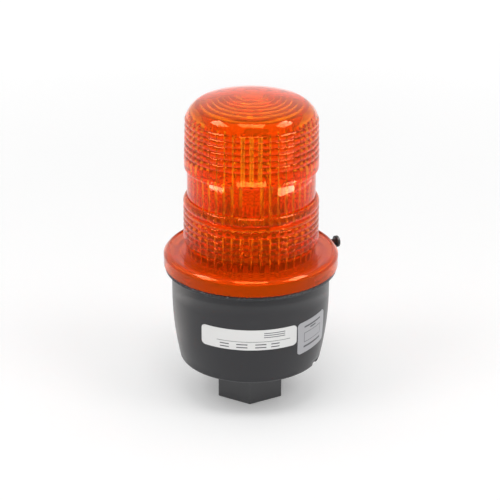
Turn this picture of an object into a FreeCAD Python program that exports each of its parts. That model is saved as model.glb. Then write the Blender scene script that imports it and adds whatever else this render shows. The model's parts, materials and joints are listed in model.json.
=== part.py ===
import FreeCAD, Part
import math
import os

# A pipe-mounted strobe light: an amber ribbed dome on a black pot-shaped base, over a
# hexagonal hub that screws onto a threaded pipe. Millimetres, +Z up, the front faces -Y,
# and the origin is the centre of the hub's lower face.

# Pipe hub
HUB_ACROSS_FLATS = 31.6
HUB_HEX_HEIGHT = 19.7
HUB_EDGE_CHAMFER = 1.0
HUB_THREAD_RADIUS = 9.9
HUB_THREAD_DEPTH = 17.0
HUB_SPIGOT_RADIUS = 13.0
HUB_SPIGOT_RISE = 10.0
HUB_WIRE_RADIUS = 7.5
HUB_CLEARANCE = 0.3
HUB_GASKET_THICKNESS = 1.0
HUB_GASKET_RADIUS = 15.2
LOCKNUT_RADIUS = 18.0
LOCKNUT_THICKNESS = 5.0
LOCKNUT_NOTCHES = 6
LOCKNUT_NOTCH_WIDTH = 4.0
LOCKNUT_NOTCH_DEPTH = 2.0

# Base housing
BASE_HEIGHT = 49.4
BASE_TAPER = 4.0
BASE_STRAIGHT_HEIGHT = 12.1
BASE_EDGE_RADIUS = 1.4
BASE_WALL = 2.5
BASE_FLOOR = 3.0
RIM_INSET = 0.7
RIM_OVERHANG = 3.3
RIM_THICKNESS = 2.2
RIM_EDGE_CHAMFER = 0.4
COLLAR_WALL = 2.6
COLLAR_HEIGHT = 4.3
NOTCH_AZIMUTH = -24.0
NOTCH_WIDTH = 6.0
NOTCH_HEIGHT = 2.4
NOTCH_DEPTH = 2.0

# Bayonet between base and dome
LUG_COUNT = 3
LUG_FIRST_AZIMUTH = 90.0
LUG_ANGLE = 24.0
LUG_REACH = 1.9
BASE_LUG_THICKNESS = 1.7
DOME_LUG_THICKNESS = 1.5
LUG_CLEARANCE = 0.3
STOP_ANGLE = 3.0
STOP_GAP_ANGLE = 0.5
SEAT_CLEARANCE = 0.05

# Dome gasket
GASKET_WIDTH = 1.4
GASKET_THICKNESS = 1.3
GASKET_PROUD = 0.4
GASKET_CLEARANCE = 0.05

# Dome flange
FLANGE_HEIGHT = 7.9
FLANGE_WALL = 2.5
FLANGE_EDGE_RADIUS = 2.6
FLANGE_FOOT_CHAMFER = 0.4
FLANGE_PLATE = 2.2
FLANGE_RIM_DROP = 0.8
FLANGE_RIM_SLOPE = 0.5
FLANGE_STEP_RISE = 0.35
FLANGE_STEP_WIDTH = 1.2
FLANGE_STEP_REACH = 3.3
FLANGE_LEDGE = 11.0
NECK_HEIGHT = 3.4

# Dome bands, from the neck up: each radius steps out or in from the one below it
LOWER_STEP_OUT = 1.2
LOWER_CHAMFER = 1.5
LOWER_RIBS = 7
LOWER_PITCH = 3.11
LOWER_TOP_STEP_IN = 1.9
LOWER_TOP_RISE = 1.4
RIB_DEPTH = 0.9
WAIST_STEP_IN = 2.1
WAIST_DROP = 1.7
MID_STEP_OUT = 1.85
MID_SHOULDER = 3.2
MID_HEIGHT = 9.5
UPPER_STEP_OUT = 1.65
UPPER_TAPER = 0.5
UPPER_CHAMFER = 3.6
UPPER_FIRST_RIB = 5.7
UPPER_RIBS = 6
UPPER_PITCH = 3.06

# Dome cap
CAP_HEIGHT = 11.3
CAP_CROWN_RADIUS = 74.6
CAP_CORNER_RADIUS = 11.5
CAP_WALL = 3.0
CAP_RINGS = 7
CAP_RING_INSET = 4.0
CAP_RING_PITCH = 2.6
CAP_RING_DEPTH = 0.9

# Inside of the dome
LOWER_LENS_WALL = 4.0
WAIST_WALL = 2.2
BORE_STEP_DROP = 6.0
FLUTES = 44
FLUTE_DEPTH = 0.9
FLUTE_FILL = 0.84

# Lock screw
SCREW_AZIMUTH = 25.0
SCREW_HEIGHT = 2.8
SCREW_RADIUS = 1.5
SCREW_HEAD_RADIUS = 2.9
SCREW_HEAD_THICKNESS = 1.8
SCREW_HEAD_ROUNDING = 0.6
SCREW_SLOT_WIDTH = 0.8
SCREW_SLOT_DEPTH = 0.9
SCREW_STANDOFF = 3.8
SCREW_TIP_CLEARANCE = 0.3
INSERT_RADIUS = 2.3
THREAD_CLEARANCE = 0.05
BOSS_WIDTH = 7.0

# Circuit board and its posts
POST_HEIGHT = 14.3
POST_RADIUS = 3.5
POST_COUNT = 4
POST_FIRST_AZIMUTH = 22.5
POST_CIRCLE_RADIUS = 28.0
POST_INSET = 4.8
POST_HOLE_DEPTH = 8.0
BOARD_CLEARANCE = 3.2
BOARD_THICKNESS = 1.6
SMALL_SCREW_RADIUS = 1.4
SMALL_SCREW_HEAD_RADIUS = 2.7
SMALL_SCREW_HEAD = 1.8
SMALL_SCREW_BITE = 6.0

# Column, socket and flash tube
COLUMN_FOOT_RADIUS = 10.5
COLUMN_FOOT_THICKNESS = 2.5
COLUMN_RADIUS = 5.0
COLUMN_HEIGHT = 38.4
COLUMN_RIBS = 4
COLUMN_RIB_THICKNESS = 1.6
COLUMN_SCREW_OFFSET = 7.9
COLUMN_SCREW_AZIMUTH = 45.0
SOCKET_RADIUS = 11.0
SOCKET_HEIGHT = 8.0
PIN_COUNT = 3
PIN_RADIUS = 1.0
PIN_LENGTH = 6.0
PIN_CIRCLE_RADIUS = 6.5
PIN_CLEARANCE = 0.05
CONTACT_WALL = 0.5
TUBE_BASE_RADIUS = 10.0
TUBE_BASE_HEIGHT = 6.0
TUBE_BASE_EDGE = 1.2
TUBE_LENGTH = 36.0
TUBE_RADIUS = 3.5
TUBE_GLASS = 0.8
END_CAP_RADIUS = 4.4
END_CAP_HEIGHT = 4.0
END_CAP_FLOOR = 1.0
TUBE_FIT = 0.05
ELECTRODE_RADIUS = 1.1
ELECTRODE_LENGTH = 7.0
ROD_RADIUS = 0.9
ROD_OFFSET = 7.6
STRAP_THICKNESS = 1.0
STRAP_WIDTH = 3.4
BAND_COUNT = 3
BAND_WIDTH = 1.0
BAND_THICKNESS = 0.4
BAND_SPACING = 8.0

# Parts on the board
CAN_RADIUS = 9.0
CAN_HEIGHT = 28.0
CAN_AZIMUTH = 172.0
CAN_DISTANCE = 21.0
CAN_GROOVE_HEIGHT = 3.0
CAN_GROOVE_DEPTH = 0.6
CORE_WIDTH = 20.0
CORE_DEPTH = 10.0
CORE_HEIGHT = 18.0
CORE_LEG = 3.4
CORE_CENTRE_LEG = 5.0
WINDING_DEPTH = 15.0
WINDING_CLEARANCE = 0.2
TRANSFORMER_AZIMUTH = 349.0
TRANSFORMER_DISTANCE = 21.5
COIL_RADIUS = 4.5
COIL_HEIGHT = 13.0
COIL_FLANGE = 1.2
COIL_NECK = 0.8
COIL_AZIMUTH = 92.0
COIL_DISTANCE = 15.5
FILM_WIDTH = 10.0
FILM_DEPTH = 4.5
FILM_HEIGHT = 8.5
FILM_BEVEL = 0.55
FILM_AZIMUTH = 128.0
FILM_DISTANCE = 17.5
SINK_WIDTH = 17.0
SINK_HEIGHT = 21.0
SINK_SHEET = 1.5
SINK_FOOT = 4.0
SINK_FOOT_GAP = 1.0
SINK_AZIMUTH = 228.0
SINK_DISTANCE = 26.0
TAB_WIDTH = 10.0
TAB_HEIGHT = 15.4
TAB_SHEET = 1.3
TAB_BODY_HEIGHT = 9.2
TAB_BODY_DEPTH = 3.1
TAB_LIFT = 3.5
TAB_HOLE_DROP = 2.9
TAB_LEG_WIDTH = 0.8
TAB_LEG_SPACING = 2.5
BLOCK_WAYS = 3
BLOCK_PITCH = 5.0
BLOCK_DEPTH = 9.0
BLOCK_HEIGHT = 10.5
BLOCK_AZIMUTH = 266.0
BLOCK_DISTANCE = 25.0
BLOCK_PORT_WIDTH = 3.2
BLOCK_PORT_HEIGHT = 3.6
BLOCK_PORT_DEPTH = 5.0
BLOCK_PORT_LIFT = 1.8
BLOCK_SCREW_RADIUS = 1.6
BLOCK_SCREW_HEIGHT = 2.6
FUSE_RADIUS = 2.5
FUSE_LENGTH = 20.0
FUSE_CLIP_WIDTH = 4.2
FUSE_CLIP_SHEET = 0.6
FUSE_LIFT = 1.2
FUSE_AZIMUTH = 56.0
FUSE_DISTANCE = 20.5
DISC_RADIUS = 4.6
DISC_THICKNESS = 3.6
DISC_AZIMUTH = 312.0
DISC_DISTANCE = 27.0
DIODE_COUNT = 4
DIODE_RADIUS = 1.35
DIODE_LENGTH = 5.2
DIODE_PITCH = 3.4
DIODE_AZIMUTH = 243.0
DIODE_DISTANCE = 16.0
RESISTOR_COUNT = 3
RESISTOR_RADIUS = 1.25
RESISTOR_LENGTH = 6.3
RESISTOR_PITCH = 3.4
RESISTOR_AZIMUTH = 291.0
RESISTOR_DISTANCE = 16.2

# Labels on the base
LABEL_THICKNESS = 0.2
LABEL_CORNER = 2.0
FRONT_LABEL_AZIMUTH = -91.0
FRONT_LABEL_ANGLE = 73.0
FRONT_LABEL_HEIGHT = 10.9
FRONT_LABEL_MIDDLE = 25.0
SIDE_LABEL_AZIMUTH = -37.9
SIDE_LABEL_ANGLE = 30.8
SIDE_LABEL_HEIGHT = 17.6
SIDE_LABEL_MIDDLE = 22.3
SIDE_LABEL_TILT = 5.0

# Aids: how far a cut runs past its piece, and how closely an edge is matched by its length
CUT_MARGIN = 1.0
MATCH = 0.001

# Radii that follow: the housing is built out from the board, and the dome from its flange
BOARD_RADIUS = POST_CIRCLE_RADIUS + POST_INSET
COLLAR_RADIUS = BOARD_RADIUS + BOARD_CLEARANCE + COLLAR_WALL
FLANGE_RADIUS = COLLAR_RADIUS + LUG_REACH + FLANGE_WALL
RIM_RADIUS = FLANGE_RADIUS - RIM_INSET
BASE_WALL_RADIUS = RIM_RADIUS - RIM_OVERHANG
BASE_FLOOR_RADIUS = BASE_WALL_RADIUS - BASE_TAPER
NECK_RADIUS = FLANGE_RADIUS - FLANGE_LEDGE
FLANGE_STEP_RADIUS = NECK_RADIUS + FLANGE_STEP_REACH
LOWER_RADIUS = NECK_RADIUS + LOWER_STEP_OUT
LOWER_TOP_RADIUS = LOWER_RADIUS - LOWER_TOP_STEP_IN
WAIST_RADIUS = LOWER_TOP_RADIUS - WAIST_STEP_IN
MID_RADIUS = WAIST_RADIUS + MID_STEP_OUT
UPPER_BOTTOM_RADIUS = MID_RADIUS + UPPER_STEP_OUT
UPPER_TOP_RADIUS = UPPER_BOTTOM_RADIUS - UPPER_TAPER
LOWER_BORE_RADIUS = LOWER_RADIUS - LOWER_LENS_WALL
UPPER_BORE_RADIUS = WAIST_RADIUS - WAIST_WALL
CAP_RING_OUTER_RADIUS = UPPER_BORE_RADIUS - CAP_RING_INSET

# Heights that follow from the sizes above
FLOOR_BOTTOM = HUB_HEX_HEIGHT + HUB_GASKET_THICKNESS
FLOOR_TOP = FLOOR_BOTTOM + BASE_FLOOR
RIM_TOP = FLOOR_BOTTOM + BASE_HEIGHT
COLLAR_TOP = RIM_TOP + COLLAR_HEIGHT
COLLAR_BORE_RADIUS = COLLAR_RADIUS - COLLAR_WALL
BOARD_BOTTOM = FLOOR_TOP + POST_HEIGHT
BOARD_TOP = BOARD_BOTTOM + BOARD_THICKNESS
DOME_FOOT = RIM_TOP + SEAT_CLEARANCE
FLANGE_TOP = DOME_FOOT + FLANGE_HEIGHT
FLANGE_WELL = FLANGE_TOP - FLANGE_RIM_DROP
FLANGE_CEILING = FLANGE_WELL - FLANGE_PLATE
FLANGE_BORE_RADIUS = FLANGE_RADIUS - FLANGE_WALL
NECK_TOP = FLANGE_WELL + 2 * FLANGE_STEP_RISE + NECK_HEIGHT
LOWER_BOTTOM = NECK_TOP + LOWER_CHAMFER
LOWER_TOP = LOWER_BOTTOM + LOWER_RIBS * LOWER_PITCH + LOWER_TOP_RISE
WAIST_HEIGHT = LOWER_TOP - WAIST_DROP
MID_BOTTOM = LOWER_TOP + MID_SHOULDER
MID_TOP = MID_BOTTOM + MID_HEIGHT
UPPER_BOTTOM = MID_TOP + UPPER_CHAMFER
UPPER_TOP = UPPER_BOTTOM + UPPER_FIRST_RIB + UPPER_RIBS * UPPER_PITCH
APEX = UPPER_TOP + CAP_HEIGHT
COLUMN_TOP = BOARD_TOP + COLUMN_HEIGHT
SOCKET_TOP = COLUMN_TOP + SOCKET_HEIGHT
PLUG_TOP = SOCKET_TOP + TUBE_BASE_HEIGHT
TUBE_TOP = PLUG_TOP + TUBE_LENGTH
LOCK_SCREW_Z = DOME_FOOT + SCREW_HEIGHT


def turned(points):
    """Solid of revolution about Z from a closed outline of (radius, height) points.

    A point with four numbers is reached by an arc: the last two are a place on the way.
    """
    edges = []
    count = len(points)
    for index in range(count):
        start = FreeCAD.Vector(points[index][0], 0, points[index][1])
        target = points[(index + 1) % count]
        end = FreeCAD.Vector(target[0], 0, target[1])
        if len(target) == 4:
            on_the_way = FreeCAD.Vector(target[2], 0, target[3])
            edges.append(Part.Arc(start, on_the_way, end).toShape())
        else:
            edges.append(Part.LineSegment(start, end).toShape())
    face = Part.Face(Part.Wire(edges))
    return face.revolve(FreeCAD.Vector(0, 0, 0), FreeCAD.Vector(0, 0, 1), 360)


def rod(radius, bottom, top, x=0.0, y=0.0):
    """Upright cylinder between two heights."""
    return Part.makeCylinder(radius, top - bottom, FreeCAD.Vector(x, y, bottom))


def tube(outer, inner, bottom, top, x=0.0, y=0.0):
    """Upright ring between two heights."""
    return rod(outer, bottom, top, x, y).cut(rod(inner, bottom, top, x, y))


def block(length, width, bottom, top, x=0.0, y=0.0):
    """Upright block, centred in X and Y on the given place."""
    corner = FreeCAD.Vector(x - length / 2, y - width / 2, bottom)
    return Part.makeBox(length, width, top - bottom, corner)


def lying_rod(radius, start, end, y, height):
    """Cylinder along X between two values of X."""
    place = FreeCAD.Vector(start, y, height)
    return Part.makeCylinder(radius, end - start, place, FreeCAD.Vector(1, 0, 0))


def turn(shape, azimuth):
    """Copy of a shape, turned about Z."""
    copy = shape.copy()
    copy.rotate(FreeCAD.Vector(0, 0, 0), FreeCAD.Vector(0, 0, 1), azimuth)
    return copy


def around(shape, count, first=0.0):
    """Copies of a shape, evenly turned about Z."""
    return [turn(shape, first + index * 360.0 / count) for index in range(count)]


def joined(shapes):
    """One solid from shapes that share walls or volume."""
    result = shapes[0]
    if len(shapes) > 1:
        result = shapes[0].multiFuse(shapes[1:])
    return result.removeSplitter()


def group(shapes):
    """Separate solids kept together as one sub-part."""
    solids = []
    for shape in shapes:
        solids.extend(shape.Solids)
    return Part.makeCompound(solids)


def sector(outer, inner, bottom, top, middle, angle):
    """Ring segment that spans an angle about a middle azimuth."""
    ring = Part.makeCylinder(
        outer, top - bottom, FreeCAD.Vector(0, 0, bottom), FreeCAD.Vector(0, 0, 1), angle)
    core = rod(inner, bottom, top)
    return turn(ring.cut(core), middle - angle / 2)


def polar(distance, azimuth):
    """X and Y of a place given by its distance from the axis and its azimuth."""
    angle = math.radians(azimuth)
    return distance * math.cos(angle), distance * math.sin(angle)


# Base

def base_wall_radius(height):
    """Outer radius of the base's curved wall at a height."""
    shoulder = RIM_TOP - RIM_THICKNESS - BASE_STRAIGHT_HEIGHT
    rise = shoulder - FLOOR_BOTTOM
    spread = BASE_WALL_RADIUS - BASE_FLOOR_RADIUS
    arc = (rise * rise + spread * spread) / (2 * spread)
    drop = max(shoulder - height, 0.0)
    return BASE_WALL_RADIUS - arc + math.sqrt(arc * arc - drop * drop)


def make_base_housing():
    shoulder = RIM_TOP - RIM_THICKNESS - BASE_STRAIGHT_HEIGHT
    rim_bottom = RIM_TOP - RIM_THICKNESS
    edge_top = FLOOR_BOTTOM + BASE_EDGE_RADIUS
    edge_radius = base_wall_radius(edge_top)
    outer_middle = (edge_top + shoulder) / 2
    inner_middle = (FLOOR_TOP + shoulder) / 2
    corner = BASE_EDGE_RADIUS * (1 - math.sqrt(0.5))
    shell = turned([
        (HUB_SPIGOT_RADIUS + HUB_CLEARANCE, FLOOR_BOTTOM),
        (edge_radius - BASE_EDGE_RADIUS, FLOOR_BOTTOM),
        (edge_radius, edge_top, edge_radius - corner, FLOOR_BOTTOM + corner),
        (BASE_WALL_RADIUS, shoulder, base_wall_radius(outer_middle), outer_middle),
        (BASE_WALL_RADIUS, rim_bottom),
        (RIM_RADIUS - RIM_EDGE_CHAMFER, rim_bottom),
        (RIM_RADIUS, rim_bottom + RIM_EDGE_CHAMFER),
        (RIM_RADIUS, RIM_TOP),
        (COLLAR_RADIUS, RIM_TOP),
        (COLLAR_RADIUS, COLLAR_TOP),
        (COLLAR_BORE_RADIUS, COLLAR_TOP),
        (COLLAR_BORE_RADIUS, rim_bottom),
        (BASE_WALL_RADIUS - BASE_WALL, shoulder),
        (base_wall_radius(FLOOR_TOP) - BASE_WALL, FLOOR_TOP,
         base_wall_radius(inner_middle) - BASE_WALL, inner_middle),
        (HUB_SPIGOT_RADIUS + HUB_CLEARANCE, FLOOR_TOP),
    ])
    lug = sector(FLANGE_BORE_RADIUS - LUG_CLEARANCE, COLLAR_BORE_RADIUS + COLLAR_WALL / 2,
                 COLLAR_TOP - BASE_LUG_THICKNESS, COLLAR_TOP, 0, LUG_ANGLE)
    stop_middle = -(LUG_ANGLE + STOP_ANGLE) / 2 - STOP_GAP_ANGLE
    stop = sector(FLANGE_BORE_RADIUS - LUG_CLEARANCE, COLLAR_BORE_RADIUS + COLLAR_WALL / 2,
                  RIM_TOP, COLLAR_TOP, stop_middle, STOP_ANGLE)
    post = rod(POST_RADIUS, FLOOR_TOP, BOARD_BOTTOM, POST_CIRCLE_RADIUS)
    pieces = [shell]
    pieces += around(lug, LUG_COUNT, LUG_FIRST_AZIMUTH)
    pieces += around(stop, LUG_COUNT, LUG_FIRST_AZIMUTH)
    pieces += around(post, POST_COUNT, POST_FIRST_AZIMUTH)
    body = joined(pieces)
    screw_hole = rod(SMALL_SCREW_RADIUS + THREAD_CLEARANCE, BOARD_BOTTOM - POST_HOLE_DEPTH,
                     BOARD_BOTTOM, POST_CIRCLE_RADIUS)
    groove_middle = COLLAR_RADIUS - COLLAR_WALL / 2
    groove_half = GASKET_WIDTH / 2 + GASKET_CLEARANCE
    gasket_groove = tube(groove_middle + groove_half, groove_middle - groove_half,
                         COLLAR_TOP - GASKET_THICKNESS + GASKET_PROUD, COLLAR_TOP)
    notch = block(2 * NOTCH_DEPTH, NOTCH_WIDTH, FLOOR_BOTTOM, FLOOR_BOTTOM + NOTCH_HEIGHT,
                  BASE_FLOOR_RADIUS)
    cuts = around(screw_hole, POST_COUNT, POST_FIRST_AZIMUTH)
    cuts += [gasket_groove, turn(notch, NOTCH_AZIMUTH)]
    return body.cut(Part.makeCompound(cuts))


def make_dome_gasket():
    middle = COLLAR_RADIUS - COLLAR_WALL / 2
    bottom = COLLAR_TOP - GASKET_THICKNESS + GASKET_PROUD
    return tube(middle + GASKET_WIDTH / 2, middle - GASKET_WIDTH / 2,
                bottom, bottom + GASKET_THICKNESS)


# Pipe hub

def hexagon(across_flats, bottom, top):
    """Upright hexagonal bar with one corner towards the front."""
    corner_radius = across_flats / math.sqrt(3)
    points = []
    for index in range(6):
        x, y = polar(corner_radius, -90 + index * 60)
        points.append(FreeCAD.Vector(x, y, bottom))
    points.append(points[0])
    return Part.Face(Part.makePolygon(points)).extrude(FreeCAD.Vector(0, 0, top - bottom))


def make_pipe_hub():
    corner_radius = HUB_ACROSS_FLATS / math.sqrt(3)
    trim = turned([
        (0, 0),
        (corner_radius - HUB_EDGE_CHAMFER, 0),
        (corner_radius, HUB_EDGE_CHAMFER / 2),
        (corner_radius, HUB_HEX_HEIGHT),
        (0, HUB_HEX_HEIGHT),
    ])
    hexagonal = hexagon(HUB_ACROSS_FLATS, 0, HUB_HEX_HEIGHT).common(trim)
    spigot = rod(HUB_SPIGOT_RADIUS, HUB_HEX_HEIGHT, FLOOR_TOP + HUB_SPIGOT_RISE)
    bore = turned([
        (0, 0),
        (HUB_THREAD_RADIUS, 0),
        (HUB_THREAD_RADIUS, HUB_THREAD_DEPTH),
        (HUB_WIRE_RADIUS, HUB_THREAD_DEPTH),
        (HUB_WIRE_RADIUS, FLOOR_TOP + HUB_SPIGOT_RISE),
        (0, FLOOR_TOP + HUB_SPIGOT_RISE),
    ])
    return joined([hexagonal, spigot]).cut(bore)


def make_hub_gasket():
    return tube(HUB_GASKET_RADIUS, HUB_SPIGOT_RADIUS + THREAD_CLEARANCE, HUB_HEX_HEIGHT, FLOOR_BOTTOM)


def make_hub_locknut():
    ring = tube(LOCKNUT_RADIUS, HUB_SPIGOT_RADIUS + THREAD_CLEARANCE,
                FLOOR_TOP, FLOOR_TOP + LOCKNUT_THICKNESS)
    notch = block(2 * LOCKNUT_NOTCH_DEPTH, LOCKNUT_NOTCH_WIDTH,
                  FLOOR_TOP, FLOOR_TOP + LOCKNUT_THICKNESS, LOCKNUT_RADIUS)
    return ring.cut(Part.makeCompound(around(notch, LOCKNUT_NOTCHES)))


# Dome

def crown_height(radius):
    """Height of the cap's outer crown at a radius."""
    return APEX - CAP_CROWN_RADIUS + math.sqrt(CAP_CROWN_RADIUS ** 2 - radius ** 2)


def cap_corner():
    """Centre of the cap's corner arc, and the radius at which it meets the crown."""
    reach = CAP_CROWN_RADIUS - CAP_CORNER_RADIUS
    centre_z = UPPER_TOP
    centre_r = UPPER_TOP_RADIUS - CAP_CORNER_RADIUS
    crown_centre = APEX - CAP_CROWN_RADIUS
    if reach > centre_r:
        centre_z = crown_centre + math.sqrt(reach ** 2 - centre_r ** 2)
    meet = centre_r * CAP_CROWN_RADIUS / reach
    return centre_r, centre_z, meet


def ribs(start_radius, end_radius, bottom, pitch, count):
    """Outline points of a stack of horizontal prisms, from the first crest's foot."""
    points = []
    slope = (end_radius - start_radius) / (pitch * count)
    for index in range(count):
        crest = bottom + (index + 0.5) * pitch
        valley = bottom + (index + 1) * pitch
        points.append((start_radius + slope * (crest - bottom), crest))
        points.append((start_radius + slope * (valley - bottom) - RIB_DEPTH, valley))
    return points


def make_dome_lens():
    outline = flange_outline() + band_outline() + cap_outline() + inside_outline()
    dome = turned(outline)
    added = dome_lugs()
    added.append(screw_boss())
    dome = joined([dome] + added)
    cuts = flutes()
    insert_hole = radial_rod(INSERT_RADIUS + THREAD_CLEARANCE, COLLAR_RADIUS, FLANGE_RADIUS + CUT_MARGIN)
    cuts.append(insert_hole)
    return dome.cut(Part.makeCompound(cuts))


def flange_outline():
    """From the flange's inner foot, over its rounded rim and well, to the neck."""
    round_middle = FLANGE_EDGE_RADIUS * math.sqrt(0.5)
    round_centre_r = FLANGE_RADIUS - FLANGE_EDGE_RADIUS
    round_centre_z = FLANGE_TOP - FLANGE_EDGE_RADIUS
    inner_step = FLANGE_STEP_RADIUS - FLANGE_STEP_WIDTH
    points = [
        (FLANGE_BORE_RADIUS, DOME_FOOT),
        (FLANGE_RADIUS - FLANGE_FOOT_CHAMFER, DOME_FOOT),
        (FLANGE_RADIUS, DOME_FOOT + FLANGE_FOOT_CHAMFER),
        (FLANGE_RADIUS, round_centre_z),
        (round_centre_r, FLANGE_TOP, round_centre_r + round_middle, round_centre_z + round_middle),
        (round_centre_r - FLANGE_RIM_SLOPE, FLANGE_WELL),
        (FLANGE_STEP_RADIUS, FLANGE_WELL),
        (FLANGE_STEP_RADIUS, FLANGE_WELL + FLANGE_STEP_RISE),
        (inner_step, FLANGE_WELL + FLANGE_STEP_RISE),
        (inner_step, FLANGE_WELL + 2 * FLANGE_STEP_RISE),
        (NECK_RADIUS, FLANGE_WELL + 2 * FLANGE_STEP_RISE),
    ]
    return points


def band_outline():
    """Neck, lower ribs, waist, smooth middle and upper ribs."""
    top_rib = LOWER_BOTTOM + (LOWER_RIBS - 0.5) * LOWER_PITCH
    rib_shoulder_r = (LOWER_RADIUS + LOWER_TOP_RADIUS) / 2
    rib_shoulder_z = (top_rib + LOWER_TOP) / 2
    bulge = (LOWER_RADIUS - LOWER_TOP_RADIUS) / 4
    shoulder_r = MID_RADIUS - (MID_RADIUS - WAIST_RADIUS) / 4
    shoulder_z = WAIST_HEIGHT + (MID_BOTTOM - WAIST_HEIGHT) / 2
    first_valley = UPPER_BOTTOM + UPPER_FIRST_RIB
    points = [
        (NECK_RADIUS, NECK_TOP),
        (LOWER_RADIUS - RIB_DEPTH / 2, LOWER_BOTTOM),
    ]
    points += ribs(LOWER_RADIUS, LOWER_RADIUS, LOWER_BOTTOM, LOWER_PITCH, LOWER_RIBS)[:-1]
    points += [
        (LOWER_TOP_RADIUS, LOWER_TOP, rib_shoulder_r + bulge, rib_shoulder_z + bulge),
        (WAIST_RADIUS, WAIST_HEIGHT),
        (MID_RADIUS, MID_BOTTOM, shoulder_r, shoulder_z),
        (MID_RADIUS, MID_TOP),
        (UPPER_BOTTOM_RADIUS, UPPER_BOTTOM),
        (UPPER_BOTTOM_RADIUS, first_valley - UPPER_PITCH / 2),
        (UPPER_BOTTOM_RADIUS - RIB_DEPTH, first_valley),
    ]
    points += ribs(UPPER_BOTTOM_RADIUS, UPPER_TOP_RADIUS, first_valley, UPPER_PITCH, UPPER_RIBS)[:-1]
    return points


def cap_outline():
    """Rounded corner and shallow crown of the cap."""
    centre_r, centre_z, meet = cap_corner()
    start_z = max(UPPER_TOP, centre_z)
    reach = math.sqrt(CAP_CORNER_RADIUS ** 2 - (start_z - centre_z) ** 2)
    start_angle = math.asin((start_z - centre_z) / CAP_CORNER_RADIUS)
    end_angle = math.acos((meet - centre_r) / CAP_CORNER_RADIUS)
    middle_angle = (start_angle + end_angle) / 2
    middle_r = centre_r + CAP_CORNER_RADIUS * math.cos(middle_angle)
    middle_z = centre_z + CAP_CORNER_RADIUS * math.sin(middle_angle)
    return [
        (centre_r + reach, start_z),
        (meet, crown_height(meet), middle_r, middle_z),
        (0, APEX, meet / 2, crown_height(meet / 2)),
    ]


def inside_outline():
    """Stepped rings under the cap, then the bore down to the flange's inner foot."""
    centre_radius = CAP_RING_OUTER_RADIUS - CAP_RINGS * CAP_RING_PITCH
    points = [(0, crown_height(0) - CAP_WALL), (centre_radius, crown_height(centre_radius) - CAP_WALL)]
    for index in range(CAP_RINGS):
        inner = centre_radius + index * CAP_RING_PITCH
        outer = inner + CAP_RING_PITCH
        points.append((inner, crown_height(inner) - CAP_WALL - CAP_RING_DEPTH))
        points.append((outer, crown_height(outer) - CAP_WALL))
    step = WAIST_HEIGHT - BORE_STEP_DROP
    points += [
        (UPPER_BORE_RADIUS, UPPER_TOP),
        (UPPER_BORE_RADIUS, step),
        (LOWER_BORE_RADIUS, step - (LOWER_BORE_RADIUS - UPPER_BORE_RADIUS)),
        (LOWER_BORE_RADIUS, FLANGE_CEILING),
        (FLANGE_BORE_RADIUS, FLANGE_CEILING),
    ]
    return points


def flutes():
    """Upright grooves round the inside of the wall, in two heights."""
    step = WAIST_HEIGHT - BORE_STEP_DROP
    lower_top = step - (LOWER_BORE_RADIUS - UPPER_BORE_RADIUS) - RIB_DEPTH
    cutters = flute_ring(LOWER_BORE_RADIUS, FLANGE_WELL + FLANGE_STEP_RISE, lower_top)
    cutters += flute_ring(UPPER_BORE_RADIUS, step + RIB_DEPTH, UPPER_TOP - RIB_DEPTH)
    return cutters


def flute_ring(bore, bottom, top):
    """Grooves of triangular section that open into a bore."""
    half = FLUTE_FILL * math.pi * bore / FLUTES
    root = bore - FLUTE_DEPTH
    half_at_root = half * 2
    points = [
        FreeCAD.Vector(root, -half_at_root, bottom),
        FreeCAD.Vector(bore + FLUTE_DEPTH, 0, bottom),
        FreeCAD.Vector(root, half_at_root, bottom),
        FreeCAD.Vector(root, -half_at_root, bottom),
    ]
    groove = Part.Face(Part.makePolygon(points)).extrude(FreeCAD.Vector(0, 0, top - bottom))
    return around(groove, FLUTES)


def dome_lugs():
    top = COLLAR_TOP - BASE_LUG_THICKNESS - LUG_CLEARANCE
    lug = sector(FLANGE_BORE_RADIUS + FLANGE_WALL / 2, COLLAR_RADIUS + LUG_CLEARANCE,
                 top - DOME_LUG_THICKNESS, top, 0, LUG_ANGLE)
    return around(lug, LUG_COUNT, LUG_FIRST_AZIMUTH)


def screw_boss():
    """Thickening inside the flange wall that holds the brass thread."""
    top = FLANGE_CEILING + FLANGE_PLATE / 2
    pad = block(FLANGE_RADIUS - COLLAR_RADIUS, BOSS_WIDTH, DOME_FOOT + LUG_CLEARANCE, top,
                (FLANGE_RADIUS + COLLAR_RADIUS) / 2)
    inside = tube(FLANGE_BORE_RADIUS + FLANGE_WALL / 2, COLLAR_RADIUS + LUG_CLEARANCE, DOME_FOOT, top)
    return turn(pad.common(inside), SCREW_AZIMUTH)


def radial_rod(radius, near, far):
    """Cylinder along the lock screw's axis between two distances from the lamp's axis."""
    rod_shape = Part.makeCylinder(radius, far - near, FreeCAD.Vector(near, 0, LOCK_SCREW_Z),
                                  FreeCAD.Vector(1, 0, 0))
    return turn(rod_shape, SCREW_AZIMUTH)


def make_lock_screw_insert():
    near = COLLAR_RADIUS + LUG_CLEARANCE
    shell = radial_rod(INSERT_RADIUS, near, FLANGE_RADIUS)
    return shell.cut(radial_rod(SCREW_RADIUS + THREAD_CLEARANCE, near, FLANGE_RADIUS))


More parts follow.
